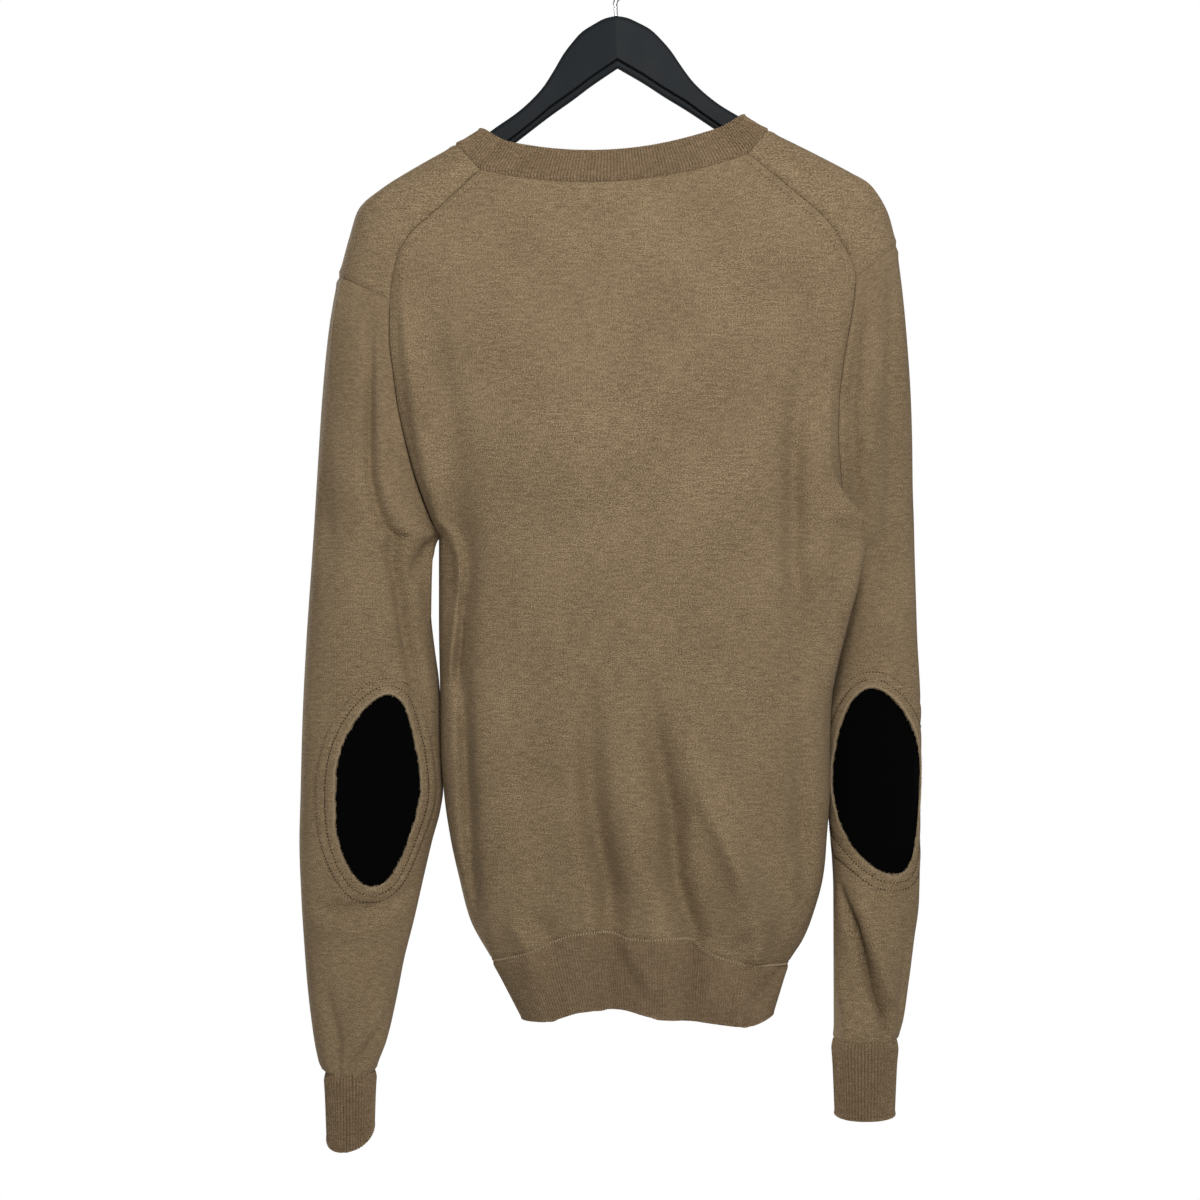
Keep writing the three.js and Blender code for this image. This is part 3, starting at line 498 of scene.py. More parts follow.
def thicken(made, thickness, smooth_up_to):
    """Gives a sheet its wall, inwards, and a crease wherever it turns by more than the given degrees."""
    modifier = made.modifiers.new("wall", "SOLIDIFY")
    modifier.thickness = thickness
    modifier.offset = -1
    made_plain(made)
    made.data.set_sharp_from_angle(angle=math.radians(smooth_up_to))


def walled(piece, thickness, material):
    made = piece.mesh()
    thicken(made, thickness, 70)
    made.data.materials.append(material)
    return made


def grid_normals(points, flip=False):
    down, across = np.gradient(points, axis=0), np.gradient(points, axis=1)
    normal = unit(np.cross(across, down))
    return -normal if flip else normal


def edge_distances(points):
    """Distances in mm from a grid's first and last column, along its rows."""
    steps = np.linalg.norm(np.diff(points, axis=1), axis=-1)
    first = np.concatenate([np.zeros((len(points), 1)), np.cumsum(steps, axis=1)], axis=1)
    return first, first[:, -1:] - first


SEAM_DEPTH, SEAM_WIDTH = 0.6, 1.0
PUFF_HEIGHT, PUFF_PLACE, PUFF_WIDTH = 0.7, 4.5, 3


def seamed(points, distance, flip=False):
    """Sinks a sheet at a seam and lets it swell a little beside it."""
    swell = PUFF_HEIGHT * bump(distance - PUFF_PLACE, PUFF_WIDTH)
    raise_by = -SEAM_DEPTH * bump(distance, SEAM_WIDTH) + swell
    return points + grid_normals(points, flip) * raise_by[..., None]


# ------------------------------------------------------------------ node trees
def linear(code):
    """An sRGB hex colour as linear RGBA."""
    channels = [int(code[k:k + 2], 16) / 255 for k in (1, 3, 5)]
    return tuple(c / 12.92 if c <= 0.04045 else ((c + 0.055) / 1.055) ** 2.4 for c in channels) + (1.0,)


def add(tree, kind, links=None, **settings):
    """A new node: settings are its own properties, links the values or the sockets that feed its inputs."""
    made = tree.nodes.new(kind)
    for name, value in settings.items():
        setattr(made, name, value)
    for socket, source in (links or {}).items():
        if isinstance(source, bpy.types.NodeSocket):
            tree.links.new(source, made.inputs[socket])
        else:
            made.inputs[socket].default_value = source
    return made


def new_material(name):
    made = bpy.data.materials.new(name)
    made.use_nodes = True
    made.node_tree.nodes.clear()
    return made, made.node_tree


def math_node(tree, operation, *values):
    return add(tree, "ShaderNodeMath", dict(enumerate(values)), operation=operation).outputs[0]


def ridges(tree, turns):
    """Rounded ridges between sharp valleys, one for each whole turn."""
    angle = math_node(tree, "MULTIPLY", turns, math.pi)
    return math_node(tree, "ABSOLUTE", math_node(tree, "SINE", angle))


def noise(tree, place, size, detail=2.0):
    """Noise over a place in metres, in blotches of about size mm."""
    links = {"Vector": place, "Scale": 1 / (size * MM), "Detail": detail}
    return add(tree, "ShaderNodeTexNoise", links).outputs["Fac"]


def two_tone(tree, share, dark, light):
    ramp = add(tree, "ShaderNodeValToRGB", {"Fac": share})
    for element, code in zip(ramp.color_ramp.elements, (dark, light)):
        element.color = linear(code)
    return ramp


def relief_of(tree, height, strength, distance):
    links = {"Height": height, "Strength": strength, "Distance": distance * MM}
    return add(tree, "ShaderNodeBump", links).outputs[0]


def principled(tree, inputs):
    shader = add(tree, "ShaderNodeBsdfPrincipled", inputs)
    add(tree, "ShaderNodeOutputMaterial", {"Surface": shader.outputs[0]})


# ------------------------------------------------------------------ materials
WALE = 1.5                     # mm from one column of stitches to the next, coarsened from about 1 mm to show
COURSE = 1.15                  # mm from one row of stitches to the next, coarsened likewise


def heather_wool(name, dark, middle, light, wale, course, relief, worn):
    """Fine-gauge worsted wool, dyed in the fibre: a matt, faintly fuzzy knit mottled dark and light."""
    material, tree = new_material(name)
    place = add(tree, "ShaderNodeUVMap", uv_map="knit").outputs["UV"]
    split = add(tree, "ShaderNodeSeparateXYZ", {0: place})
    across, along = split.outputs["X"], split.outputs["Y"]
    # Fibres of several shades, drawn out along the rows of stitches.
    flecks = add(tree, "ShaderNodeMapping", {"Vector": place, "Scale": (1 / (1.15 * MM), 1 / (0.75 * MM), 1)})
    fleck = add(tree, "ShaderNodeTexNoise", {"Vector": flecks.outputs[0], "Scale": 1.0, "Detail": 4.0,
                                            "Roughness": 0.65}).outputs["Fac"]
    bars = add(tree, "ShaderNodeMapping", {"Vector": place, "Scale": (1 / (9 * MM), 1 / (1.9 * MM), 1)})
    bar = add(tree, "ShaderNodeTexNoise", {"Vector": bars.outputs[0], "Scale": 1.0,
                                           "Detail": 3.0}).outputs["Fac"]
    cloud = noise(tree, place, 55, 3.0)
    shade = math_node(tree, "MULTIPLY_ADD", bar, 0.22, fleck)
    shade = math_node(tree, "MULTIPLY_ADD", cloud, 0.10, shade)
    shade = math_node(tree, "SUBTRACT", shade, 0.16)
    ramp = two_tone(tree, shade, dark, light)
    ramp.color_ramp.elements[0].position = 0.36
    ramp.color_ramp.elements[1].position = 0.64
    ramp.color_ramp.elements.new(0.5).color = linear(middle)
    # Worn places: raw edges and rubbed rims, where broken fibres stand up and look paler.
    wear = add(tree, "ShaderNodeAttribute", attribute_name="worn").outputs["Fac"]
    # Sockets 0, 6 and 7 and output 2 are the ones for colours.
    colour = add(tree, "ShaderNodeMix", {0: wear, 6: ramp.outputs["Color"], 7: linear(worn)},
                 data_type="RGBA").outputs[2]
    # V-shaped stitches: each row of the map is bent into a zigzag by the column it crosses.
    column = math_node(tree, "MULTIPLY", across, 1 / (wale * MM))
    zigzag = math_node(tree, "PINGPONG", column, 0.5)
    row = math_node(tree, "MULTIPLY_ADD", along, 1 / (course * MM), zigzag)
    strand = ridges(tree, row)
    valley = ridges(tree, column)
    stitch = math_node(tree, "MULTIPLY_ADD", strand, 0.6, valley)
    fuzz = math_node(tree, "MULTIPLY_ADD", fleck, 0.9, stitch)
    principled(tree, {
        "Base Color": colour, "Roughness": 0.92, "Sheen Weight": 0.12, "Sheen Roughness": 0.5,
        "Sheen Tint": linear("#b9a68a"), "Specular IOR Level": 0.2,
        "Normal": relief_of(tree, fuzz, 0.45, relief)})
    return material


jersey = heather_wool("fine worsted jersey, camel heather", "#564531", "#7d6a50", "#a48f70", WALE, COURSE,
                      0.4,
                      "#b7a284")
rib_wool = heather_wool("fine worsted rib, camel heather", "#54432f", "#78644b", "#99846a", RIB_PITCH,
                        COURSE, 0.3,
                        "#a8957a")


def black_felt():
    """Soft black cloth, napped: it takes almost all light and shows only a faint nap."""
    material, tree = new_material("napped black cotton cloth")
    place = add(tree, "ShaderNodeUVMap", uv_map="knit").outputs["UV"]
    nap = noise(tree, place, 0.9, 3.0)
    ramp = two_tone(tree, nap, "#010101", "#040404")
    principled(tree, {"Base Color": ramp.outputs["Color"], "Roughness": 1.0, "Specular IOR Level": 0.05,
                      "Normal": relief_of(tree, nap, 0.4, 0.2)})
    return material


def moulded_plastic():
    """Injection-moulded polystyrene, black: a satin skin with a very fine orange peel and duller patches."""
    material, tree = new_material("moulded black polystyrene, satin")
    place = add(tree, "ShaderNodeTexCoord").outputs["Object"]
    peel = noise(tree, place, 1.6)
    dust = noise(tree, place, 24, 5.0)
    rough = add(tree, "ShaderNodeMapRange", {"Value": dust, "To Min": 0.55, "To Max": 0.7}).outputs[0]
    principled(tree, {"Base Color": linear("#181c1f"), "Roughness": rough, "IOR": 1.5,
                      "Specular IOR Level": 0.15,
                      "Normal": relief_of(tree, peel, 0.25, 0.05)})
    return material


def plated_steel():
    """Zinc-plated steel wire, drawn: bright, its gloss broken up in small patches."""
    material, tree = new_material("zinc-plated steel wire, drawn")
    place = add(tree, "ShaderNodeTexCoord").outputs["Object"]
    worn = noise(tree, place, 0.8)
    rough = add(tree, "ShaderNodeMapRange", {"Value": worn, "To Min": 0.2, "To Max": 0.34}).outputs[0]
    principled(tree, {"Base Color": linear("#c9cbce"), "Metallic": 1.0, "Roughness": rough})
    return material


felt = black_felt()
plastic = moulded_plastic()
steel = plated_steel()


# ------------------------------------------------------------------ panels
BACK_STEPS = (210, 150)        # rows and columns of the back
FRONT_STEPS = (170, 110)
SHOULDER_ROWS = 46
SLEEVE_ROWS = dict(below=34, hole=70, above=26, armhole=60)
SLEEVE_COLUMNS = (26, 26, 30)


def armhole_rows(side, count):
    return row_height(side, np.linspace(BELOW_ARM, BELOW_SHOULDER, count + 1))


def body_panel(face, steps):
    """The grid of the back or front, sunk along its seams, and its map."""
    rows, columns = steps
    v = np.linspace(0, 1, rows + 1)[:, None]
    u = np.linspace(0, 1, columns + 1)[None, :]
    points = body_points(face, u, v)
    first, last = edge_distances(points)
    top = np.linalg.norm(points - points[-1:], axis=-1)
    bottom = np.linalg.norm(points - points[:1], axis=-1)
    nearest = np.minimum(np.minimum(first, last), np.minimum(top, bottom))
    shaped = seamed(points, nearest, flip=face > 0)
    middle = columns // 2
    return points, shaped, first - first[:, middle:middle + 1], points[..., 2]


back_edges, back_shaped, back_across, back_along = body_panel(-1, BACK_STEPS)
front_edges, front_shaped, front_across, front_along = body_panel(1, FRONT_STEPS)


def sleeve_columns(near, far):
    """Shares round a sleeve of the columns in its three strips: up to the cut-out, beyond it to the outer
    edge, and round the front."""
    ends = [(0 * near, near), (far, 0.5 + 0 * far), (0.5 + 0 * far, 1 + 0 * far)]
    return [start[:, None] + (end - start)[:, None] * np.linspace(0, 1, count + 1)[None, :]
            for (start, end), count in zip(ends, SLEEVE_COLUMNS)]


def sleeve_heights(sleeve):
    hole = sleeve.hole
    bottom, top = hole["z"] - hole["tall"], hole["z"] + hole["tall"]
    turn = np.linspace(0, np.pi, SLEEVE_ROWS["hole"] + 1)
    return np.concatenate([
        np.linspace(sleeve.cuff, bottom, SLEEVE_ROWS["below"] + 1)[:-1],
        (hole["z"] - hole["tall"] * np.cos(turn))[:-1],
        np.linspace(top, sleeve.side.underarm, SLEEVE_ROWS["above"] + 1)[:-1],
        armhole_rows(sleeve.side, SLEEVE_ROWS["armhole"])])


def shoulder_grid(sleeve):
    """The front's extension over one shoulder, from the back seam across the outline to the front."""
    side = sleeve.side
    height = row_height(side, np.linspace(BELOW_SHOULDER, 1, SHOULDER_ROWS + 1))[:, None]
    top_edge = np.atleast_1d(hole_middle(sleeve, side.underarm))
    c = np.concatenate([columns[0] if k == 0 else columns[0][1:]
                        for k, columns in enumerate(sleeve_columns(top_edge, top_edge))])[None, :]
    angle = mix(np.pi / 2, np.pi, np.where(c < 0.5, 2 * c, 2 * (1 - c)))
    out = -np.cos(angle)
    y = np.where(c < 0.5, -1, 1) * seam_depth(side, height) * np.sin(angle) ** ROUNDNESS
    x = mix(side.seam_x(height), side.outline_x(height), out)
    return np.stack([x, y, mix(height, side.outline_z(height), out)], -1)


def build_back():
    piece = Piece("back_panel_knit").grid(back_shaped, back_across, back_along)
    return walled(piece, JERSEY_WALL, jersey)


def build_front():
    piece = Piece("front_panel_knit").grid(front_shaped, front_across, front_along, flip=True)
    for sleeve in SLEEVES.values():
        points = shoulder_grid(sleeve)
        first, _ = edge_distances(points)
        flip = sleeve.hand == "left"
        head = np.linalg.norm(points - points[:1], axis=-1)
        neck = np.linalg.norm(points - points[-1:], axis=-1)
        near = np.minimum(first, np.minimum(head, neck))
        piece.grid(seamed(points, near, flip), first - 60, points[..., 2], flip=flip)
    return walled(piece, JERSEY_WALL, jersey)


STITCH_ROWS = (6, 11.5)        # mm from the cut-out's edge to the two rows that hold the cloth behind it
RIM_GROOVES = (6.5, 13)        # where the rim is drawn in beside them
RIM_CURL = 0.35                # how far its edge curls outwards


def build_sleeve(sleeve):
    piece = Piece(f"sleeve_{sleeve.hand}_knit")
    heights = sleeve_heights(sleeve)
    flip = sleeve.hand == "left"
    for c in sleeve_columns(*hole_edges(sleeve, heights)):
        height = np.broadcast_to(heights[:, None], c.shape)
        points = sleeve_points(sleeve, c, height)
        beyond = beyond_hole(sleeve, c, height)
        curl = RIM_CURL * bump(beyond, 1.2)
        for groove in RIM_GROOVES:
            curl = curl - 0.6 * bump(beyond - groove, 1.1)
        swell = 0.5 * bump(beyond - 9.8, 2.4) + 0.4 * bump(beyond - 3.4, 1.8)
        armhole = np.where(height > sleeve.side.underarm, np.minimum(c, 1 - c) * sleeve.girth, 99)
        ends = np.minimum(height - sleeve.cuff, sleeve.side.armhole_top - height)
        points = points + grid_normals(points, flip) * (curl + swell)[..., None]
        points = seamed(points, np.minimum(armhole, ends), flip)
        worn = 0.4 * bump(beyond, 0.9)
        piece.grid(points, c * sleeve.girth, height, flip=flip, mark=worn)
    return walled(piece, JERSEY_WALL, jersey)


def on_sleeve(sleeve, c, height, lift):
    """Points of a sleeve's surface moved outwards by lift mm, and the outward directions there."""
    aside = 0.004
    along = sleeve_points(sleeve, (c + aside) % 1, height) - sleeve_points(sleeve, (c - aside) % 1, height)
    up = sleeve_points(sleeve, c % 1, height + 1) - sleeve_points(sleeve, c % 1, height - 1)
    outwards = unit(np.cross(along, up))
    outwards = -outwards if sleeve.hand == "left" else outwards
    return sleeve_points(sleeve, c % 1, height) + outwards * lift, outwards


PATCH_MARGIN = 12              # mm that the cloth reaches above and below the cut-out
PATCH_SINK = (3.2, 1.7)        # mm that it lies behind the sleeve, at its middle and at its edge


def build_patch(sleeve):
    """The cloth behind the cut-out, a disc of the sleeve's own surface moved inwards."""
    hole = sleeve.hole
    rings, spokes = 24, 96
    r = np.linspace(0, 1, rings + 1)[:, None]
    turn = (2 * np.pi * (np.arange(spokes + 1) % spokes) / spokes)[None, :]
    height = hole["z"] + (hole["tall"] + PATCH_MARGIN) * r * np.sin(turn)
    c = hole_middle(sleeve, height) + (hole["half"] + hole["margin"]) * r * np.cos(turn)
    points, _ = on_sleeve(sleeve, c, height, -mix(*PATCH_SINK, r)[..., None])
    piece = Piece(f"elbow_patch_{sleeve.hand}_cloth")
    piece.grid(points, c * sleeve.girth, height, flip=sleeve.hand == "right")
    return walled(piece, PATCH_WALL, felt)


# ------------------------------------------------------------------ ribbed bands
def ring_of(*edges):
    """Edges joined into one closed ring, without the points that they share."""
    return np.concatenate([edge[:-1] for edge in edges])


def step_lengths(line):
    return np.linalg.norm(np.diff(line, axis=0), axis=1)


def evenly(ring, count):
    """The closed ring with count + 1 points at equal distances, the last on the first."""
    closed = np.concatenate([ring, ring[:1]])
    run = np.concatenate([[0], np.cumsum(step_lengths(closed))])
    places = np.linspace(0, run[-1], count + 1)
    made = np.stack([np.interp(places, run, closed[:, k]) for k in range(3)], -1)
    made[-1] = made[0]
    return made


BAND_PROUD = 1.4               # how far a band stands out beyond its seam
BAND_LAP = 1.2                 # how far it runs on beneath the panel
BAND_EASE = 7.0                # how far the corners of its seam are eased at its free edge


def rounded_off(closed):
    """The closed line with its corners eased."""
    open_line = closed[:-1]
    count = max(int(BAND_EASE / step_lengths(closed).mean()), 1)
    weights = np.exp(-0.5 * (np.arange(-2 * count, 2 * count + 1) / count) ** 2)
    weights /= weights.sum()
    eased = sum(w * np.roll(open_line, k, axis=0) for k, w in zip(range(-2 * count, 2 * count + 1), weights))
    return np.concatenate([eased, eased[:1]])


def band_grid(ring, far, rows, reverse):
    """A band from the ring at its seam to the ring that far() gives, with a whole number of ribs."""
    ribs = round(step_lengths(np.concatenate([ring, ring[:1]])).sum() / RIB_PITCH)
    near = evenly(ring, ribs * STEPS_PER_RIB)
    end = rounded_off(far(near))
    s = np.linspace(0, 1, rows + 1)[:, None, None]
    points = mix(near[None], rounded_off(near)[None], smooth(0, 0.4, s))
    points = points + (end - near)[None] * s
    points[-1] = end
    middle = near[:-1].mean(0)
    aside = unit((near - middle) * np.array([1, 1, 0]))
    points = points + aside[None] * BAND_PROUD * smooth(0, 0.1, s)
    points = np.concatenate([(near + BAND_LAP * (unit(near - end) - aside))[None], points])
    if reverse:
        points = points[::-1]
    round_map = np.linspace(0, ribs * RIB_PITCH, ribs * STEPS_PER_RIB + 1)[None, :]
    return points, round_map


def geometry_tree(name, shape, numbers, result):
    """A new geometry tree that takes a shape, some numbers and a material and gives back a result."""
    tree = bpy.data.node_groups.new(name, "GeometryNodeTree")
    tree.interface.new_socket(shape, in_out="INPUT", socket_type="NodeSocketGeometry")
    for number in numbers:
        tree.interface.new_socket(number, in_out="INPUT", socket_type="NodeSocketFloat")
    tree.interface.new_socket("Material", in_out="INPUT", socket_type="NodeSocketMaterial")
    tree.interface.new_socket(result, in_out="OUTPUT", socket_type="NodeSocketGeometry")
    return tree, add(tree, "NodeGroupInput").outputs


def painted_result(tree, shape, material):
    """Makes the shape real, gives it the material and hands it out of the tree."""
    solid = add(tree, "GeometryNodeRealizeInstances", {0: shape}).outputs[0]
    painted = add(tree, "GeometryNodeSetMaterial", {"Geometry": solid, "Material": material}).outputs[0]
    add(tree, "NodeGroupOutput", {0: painted})


def rib_tree():
    """Raises a band into ribs: 'Pitch' apart and 'Height' tall, by each point's distance 'round' the band."""
    tree, given = geometry_tree("ribs across a band", "Band", ("Pitch", "Height"), "Ribbed")
    place = add(tree, "GeometryNodeInputNamedAttribute", {"Name": "round"},
                data_type="FLOAT").outputs["Attribute"]
    wave = math_node(tree, "POWER", ridges(tree, math_node(tree, "DIVIDE", place, given["Pitch"])), 0.8)
    rise = math_node(tree, "MULTIPLY", wave, given["Height"])
    outwards = add(tree, "GeometryNodeInputNormal").outputs[0]
    offset = add(tree, "ShaderNodeVectorMath", {0: outwards}, operation="SCALE")
    tree.links.new(rise, offset.inputs["Scale"])
    moved = add(tree, "GeometryNodeSetPosition", {"Geometry": given["Band"], "Offset": offset.outputs[0]})
    painted_result(tree, moved.outputs[0], given["Material"])
    return tree


RIBS = rib_tree()


def use_tree(made, tree, **values):
    """Runs a geometry tree on an object with named input values, and keeps the result as a plain mesh."""
    modifier = made.modifiers.new(tree.name, "NODES")
    modifier.node_group = tree
    sockets = {s.name: s.identifier for s in tree.interface.items_tree if s.in_out == "INPUT"}
    for name, value in values.items():
        modifier[sockets[name]] = value
    return made_plain(made)


def ribbed_band(name, points, round_map, flip, height=RIB_HEIGHT):
    """Mesh of a band, ribbed and walled."""
    piece = Piece(name).grid(points, round_map, points[..., 2], flip=flip)
    made = piece.mesh()
    mesh = made.data
    # The ribs need the map's distance round the band at each point, where the map keeps it at each corner.
    layer = mesh.uv_layers["knit"].data
    places = np.zeros(len(mesh.vertices), np.float32)
    corner_points = np.empty(len(mesh.loops), np.int32)
    mesh.loops.foreach_get("vertex_index", corner_points)
    maps = np.empty(len(mesh.loops) * 2, np.float32)
    layer.foreach_get("uv", maps)
    places[corner_points] = maps[::2]
    mark_points(mesh, "round", places)
    use_tree(made, RIBS, Pitch=RIB_PITCH * MM, Height=height * MM, Material=rib_wool)
    thicken(made, RIB_WALL, 75)
    return made


NECK_RISE = (12, 25)           # mm that the neckband stands, at the shoulders and at the dip of the neck
NECK_NARROWING = (0.845, 0.78)   # across and front to back


def build_neck():
    left, right = shoulder_grid(SLEEVES["left"]), shoulder_grid(SLEEVES["right"])
    ring = ring_of(back_edges[-1], right[-1], front_edges[-1][::-1], left[-1][::-1])
    left_z, right_z = LEFT.outline_z(LEFT.neck), RIGHT.outline_z(RIGHT.neck)

    def top(points):
        x, y, z = points.T
        shoulder = mix(left_z, right_z, (x + NECK_HALF_WIDTH) / (2 * NECK_HALF_WIDTH))
        rise = mix(*NECK_RISE, 1 - np.exp(np.minimum(z - shoulder, 0) / 14))
        return np.stack([mix(-1, x, NECK_NARROWING[0]), y * NECK_NARROWING[1], z + rise], -1)
    points, round_map = band_grid(ring, top, 12, reverse=False)
    return ribbed_band("neck_rib_knit", points, round_map, flip=False)


hem_bottom = through((-70, -817), (-46, -814), (-26, -807), (0, -803), (22, -807), (42, -811), (70, -814),
                     (99, -818), (127, -811))
HEM_MIDDLE = 29                # x towards which its free edge is drawn in
HEM_NARROWING = (0.81, 0.89, 0.86)   # left of that middle, right of it, and front to back
HEM_RIB_HEIGHT = 0.5           # its ribs are pulled flatter than those at the neck and cuffs
HEM_FOLDS = [
    (6, [(0, -752, 0), (6, -766, -3), (14, -780, -3.5), (22, -792, -2), (28, -803, 0)]),
    (7, [(12, -752, 0), (20, -770, 3), (30, -786, 3)]),
    (5, [(125, -776, -3), (118, -786, -4), (108, -798, -3), (100, -808, 0)]),
    (8, [(-60, -778, 3), (-52, -800, 2)]),
    (9, [(70, -775, 2), (76, -800, 2)]),
]


def build_hem():
    ring = ring_of(back_edges[0], front_edges[0][::-1])

    def bottom(points):
        left, right, deep = HEM_NARROWING
        x, y, _ = points.T
        narrowed = mix(HEM_MIDDLE, x, np.where(x < HEM_MIDDLE, left, right))
        return np.stack([narrowed, y * deep, hem_bottom(narrowed)], -1)
    points, round_map = band_grid(ring, bottom, 26, reverse=True)
    behind = points[..., 1] < 0
    points[..., 1] -= creases(points[..., 0], points[..., 2], HEM_FOLDS) * behind
    return ribbed_band("hem_rib_knit", points, round_map, flip=False, height=HEM_RIB_HEIGHT)


CUFFS = {
    "left": dict(middle=-197, z=-903, lean_y=0.5, lean_x=0.2),
    "right": dict(middle=191, z=-890, lean_y=0.1, lean_x=0.0),
}


def build_cuff(sleeve):
    cuff = CUFFS[sleeve.hand]
    c = np.linspace(0, 1, 121)
    ring = sleeve_points(sleeve, c, np.full(c.shape, float(sleeve.cuff)))[:-1]

    def bottom(points):
        x, y, _ = points.T
        return np.stack([mix(cuff["middle"], x, 0.93), y * 0.93,
                         cuff["z"] + cuff["lean_y"] * y + cuff["lean_x"] * (x - cuff["middle"])], -1)
    points, round_map = band_grid(ring, bottom, 18, reverse=True)
    return ribbed_band(f"cuff_rib_{sleeve.hand}_knit", points, round_map, flip=sleeve.hand == "left")


# ------------------------------------------------------------------ the object
def declare(piece, node, slot, width, length, area=None, rests=()):
    """Attaches a piece of cloth to the root and hides the imported part that it stands for, node. slot, its
    finish, and width and length, the size it was cut to in metres, are not used. area, the cut's own where it
    is far from a rectangle, is not used."""
    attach(piece, "root")
    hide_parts(node)


for made, node, slot, cut in (
        (build_back(), "back_panel", "jersey_knit", (0.44, 0.64, 0.205)),
        (build_front(), "front_panel", "jersey_knit", (0.50, 0.72, 0.225)),
        (build_neck(), "neck_rib", "rib_knit", (0.56, 0.031)),
        (build_hem(), "hem_rib", "rib_knit", (0.56, 0.062))):
    declare(made, node, slot, *cut, rests=["hanger_body"])
SLEEVE_CUTS = {
    "left": ((0.28, 0.62, 0.128), (0.09, 0.17, 0.012), (0.13, 0.06)),
    "right": ((0.26, 0.62, 0.101), (0.09, 0.17, 0.0115), (0.15, 0.06)),
}
for hand, sleeve in SLEEVES.items():
    arm_cut, patch_cut, cuff_cut = SLEEVE_CUTS[hand]
    declare(build_sleeve(sleeve), f"sleeve_{hand}", "jersey_knit", *arm_cut)
    declare(build_patch(sleeve), f"elbow_patch_{hand}", "elbow_cloth", *patch_cut)
    declare(build_cuff(sleeve), f"cuff_rib_{hand}", "rib_knit", *cuff_cut)


# ------------------------------------------------------------------ stitching
def stitch_tree():
    """Lays small rounded stitches along lines: 'Pitch' apart, 'Length' long and 'Thickness' thick. 'Turn'
    slants each one from the line, and 'Stray' shakes its direction and size, as on a torn edge."""
    tree, given = geometry_tree("stitches along a line", "Line",
                                ("Pitch", "Length", "Thickness", "Turn", "Stray"), "Stitches")
    curve = add(tree, "GeometryNodeMeshToCurve", {"Mesh": given["Line"]}).outputs[0]
    spaced = add(tree, "GeometryNodeResampleCurve", {"Curve": curve, "Length": given["Pitch"]}, mode="LENGTH")
    away = add(tree, "GeometryNodeInputNamedAttribute", {"Name": "outwards"}, data_type="FLOAT_VECTOR")
    along = add(tree, "GeometryNodeInputTangent").outputs[0]
    level = add(tree, "FunctionNodeAlignRotationToVector", {"Vector": along}, axis="X").outputs[0]
    level = add(tree, "FunctionNodeAlignRotationToVector",
                {"Rotation": level, "Vector": away.outputs["Attribute"]},
                axis="Z", pivot_axis="X").outputs[0]
    slant = add(tree, "ShaderNodeCombineXYZ", {"Z": given["Turn"]}).outputs[0]
    shake = add(tree, "FunctionNodeRandomValue", {0: (-1.0, -1.0, -1.0), 1: (1.0, 1.0, 1.0), "Seed": 7},
                data_type="FLOAT_VECTOR").outputs[0]
    shaken = add(tree, "ShaderNodeVectorMath", {0: shake}, operation="SCALE")
    tree.links.new(given["Stray"], shaken.inputs["Scale"])
    euler = add(tree, "ShaderNodeVectorMath", {0: slant, 1: shaken.outputs[0]}, operation="ADD").outputs[0]
    turned = add(tree, "FunctionNodeRotateRotation", {
        "Rotation": level, "Rotate By": add(tree, "FunctionNodeEulerToRotation", {0: euler}).outputs[0]},
        rotation_space="LOCAL").outputs[0]
    longer = add(tree, "FunctionNodeRandomValue", {2: -0.5, 3: 0.5, "Seed": 3}, data_type="FLOAT").outputs[1]
    longer = math_node(tree, "MULTIPLY_ADD", longer, given["Stray"], 1.0)
    length = math_node(tree, "MULTIPLY", longer, given["Length"])
    size = add(tree, "ShaderNodeCombineXYZ", {"X": length, "Y": given["Thickness"], "Z": given["Thickness"]})
    bead = add(tree, "GeometryNodeMeshIcoSphere", {"Radius": 0.5, "Subdivisions": 2}).outputs[0]
    placed = add(tree, "GeometryNodeInstanceOnPoints", {
        "Points": spaced.outputs[0], "Instance": bead, "Rotation": turned, "Scale": size.outputs[0]})
    painted_result(tree, placed.outputs[0], given["Material"])
    return tree


STITCHES = stitch_tree()


def spun_thread(name, dark, light):
    """Spun sewing thread and yarn: matt, mottled finely with dark and light fibres."""
    material, tree = new_material(name)
    place = add(tree, "ShaderNodeTexCoord").outputs["Object"]
    fibres = noise(tree, place, 0.6)
    ramp = two_tone(tree, fibres, dark, light)
    principled(tree, {"Base Color": ramp.outputs["Color"], "Roughness": 0.9, "Specular IOR Level": 0.2,
                      "Normal": relief_of(tree, fibres, 0.5, 0.1)})
    return material


# Thread of the rows round the cut-outs: dark wool, darkened further to paint the shade in its needle holes.
thread_and_painted_hole_shade = spun_thread("dark wool thread with painted needle-hole shade", "#20180f", "#3d3022")
mark_yarn = spun_thread("wool yarn doubled at a fashioning mark", "#5b4935", "#7d6850")
link_yarn = spun_thread("wool linking yarn, pale camel", "#9c886b", "#c4b192")
loose_yarn = spun_thread("broken wool fibres, pale camel", "#8d7a5f", "#b9a687")


def stitched(name, lines, pitch, length, thickness, material, turn=0.0, stray=0.0):
    """Stitches along several lines, each (points, outward directions) in mm."""
    points, outwards, edges = [], [], []
    for line, away in lines:
        start = len(points)
        points.extend((line * MM).tolist())
        outwards.extend(away.tolist())
        edges.extend((start + k, start + k + 1) for k in range(len(line) - 1))
    mesh = bpy.data.meshes.new(name)
    mesh.from_pydata(points, edges, [])
    layer = mesh.attributes.new("outwards", "FLOAT_VECTOR", "POINT")
    layer.data.foreach_set("vector", np.array(outwards, np.float32).ravel())
    made = linked(name, mesh)
    use_tree(made, STITCHES, Pitch=pitch * MM, Length=length * MM, Thickness=thickness * MM, Turn=turn,
             Stray=stray, Material=material)
    made.data.polygons.foreach_set("use_smooth", np.ones(len(made.data.polygons), bool))
    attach(made, "root")


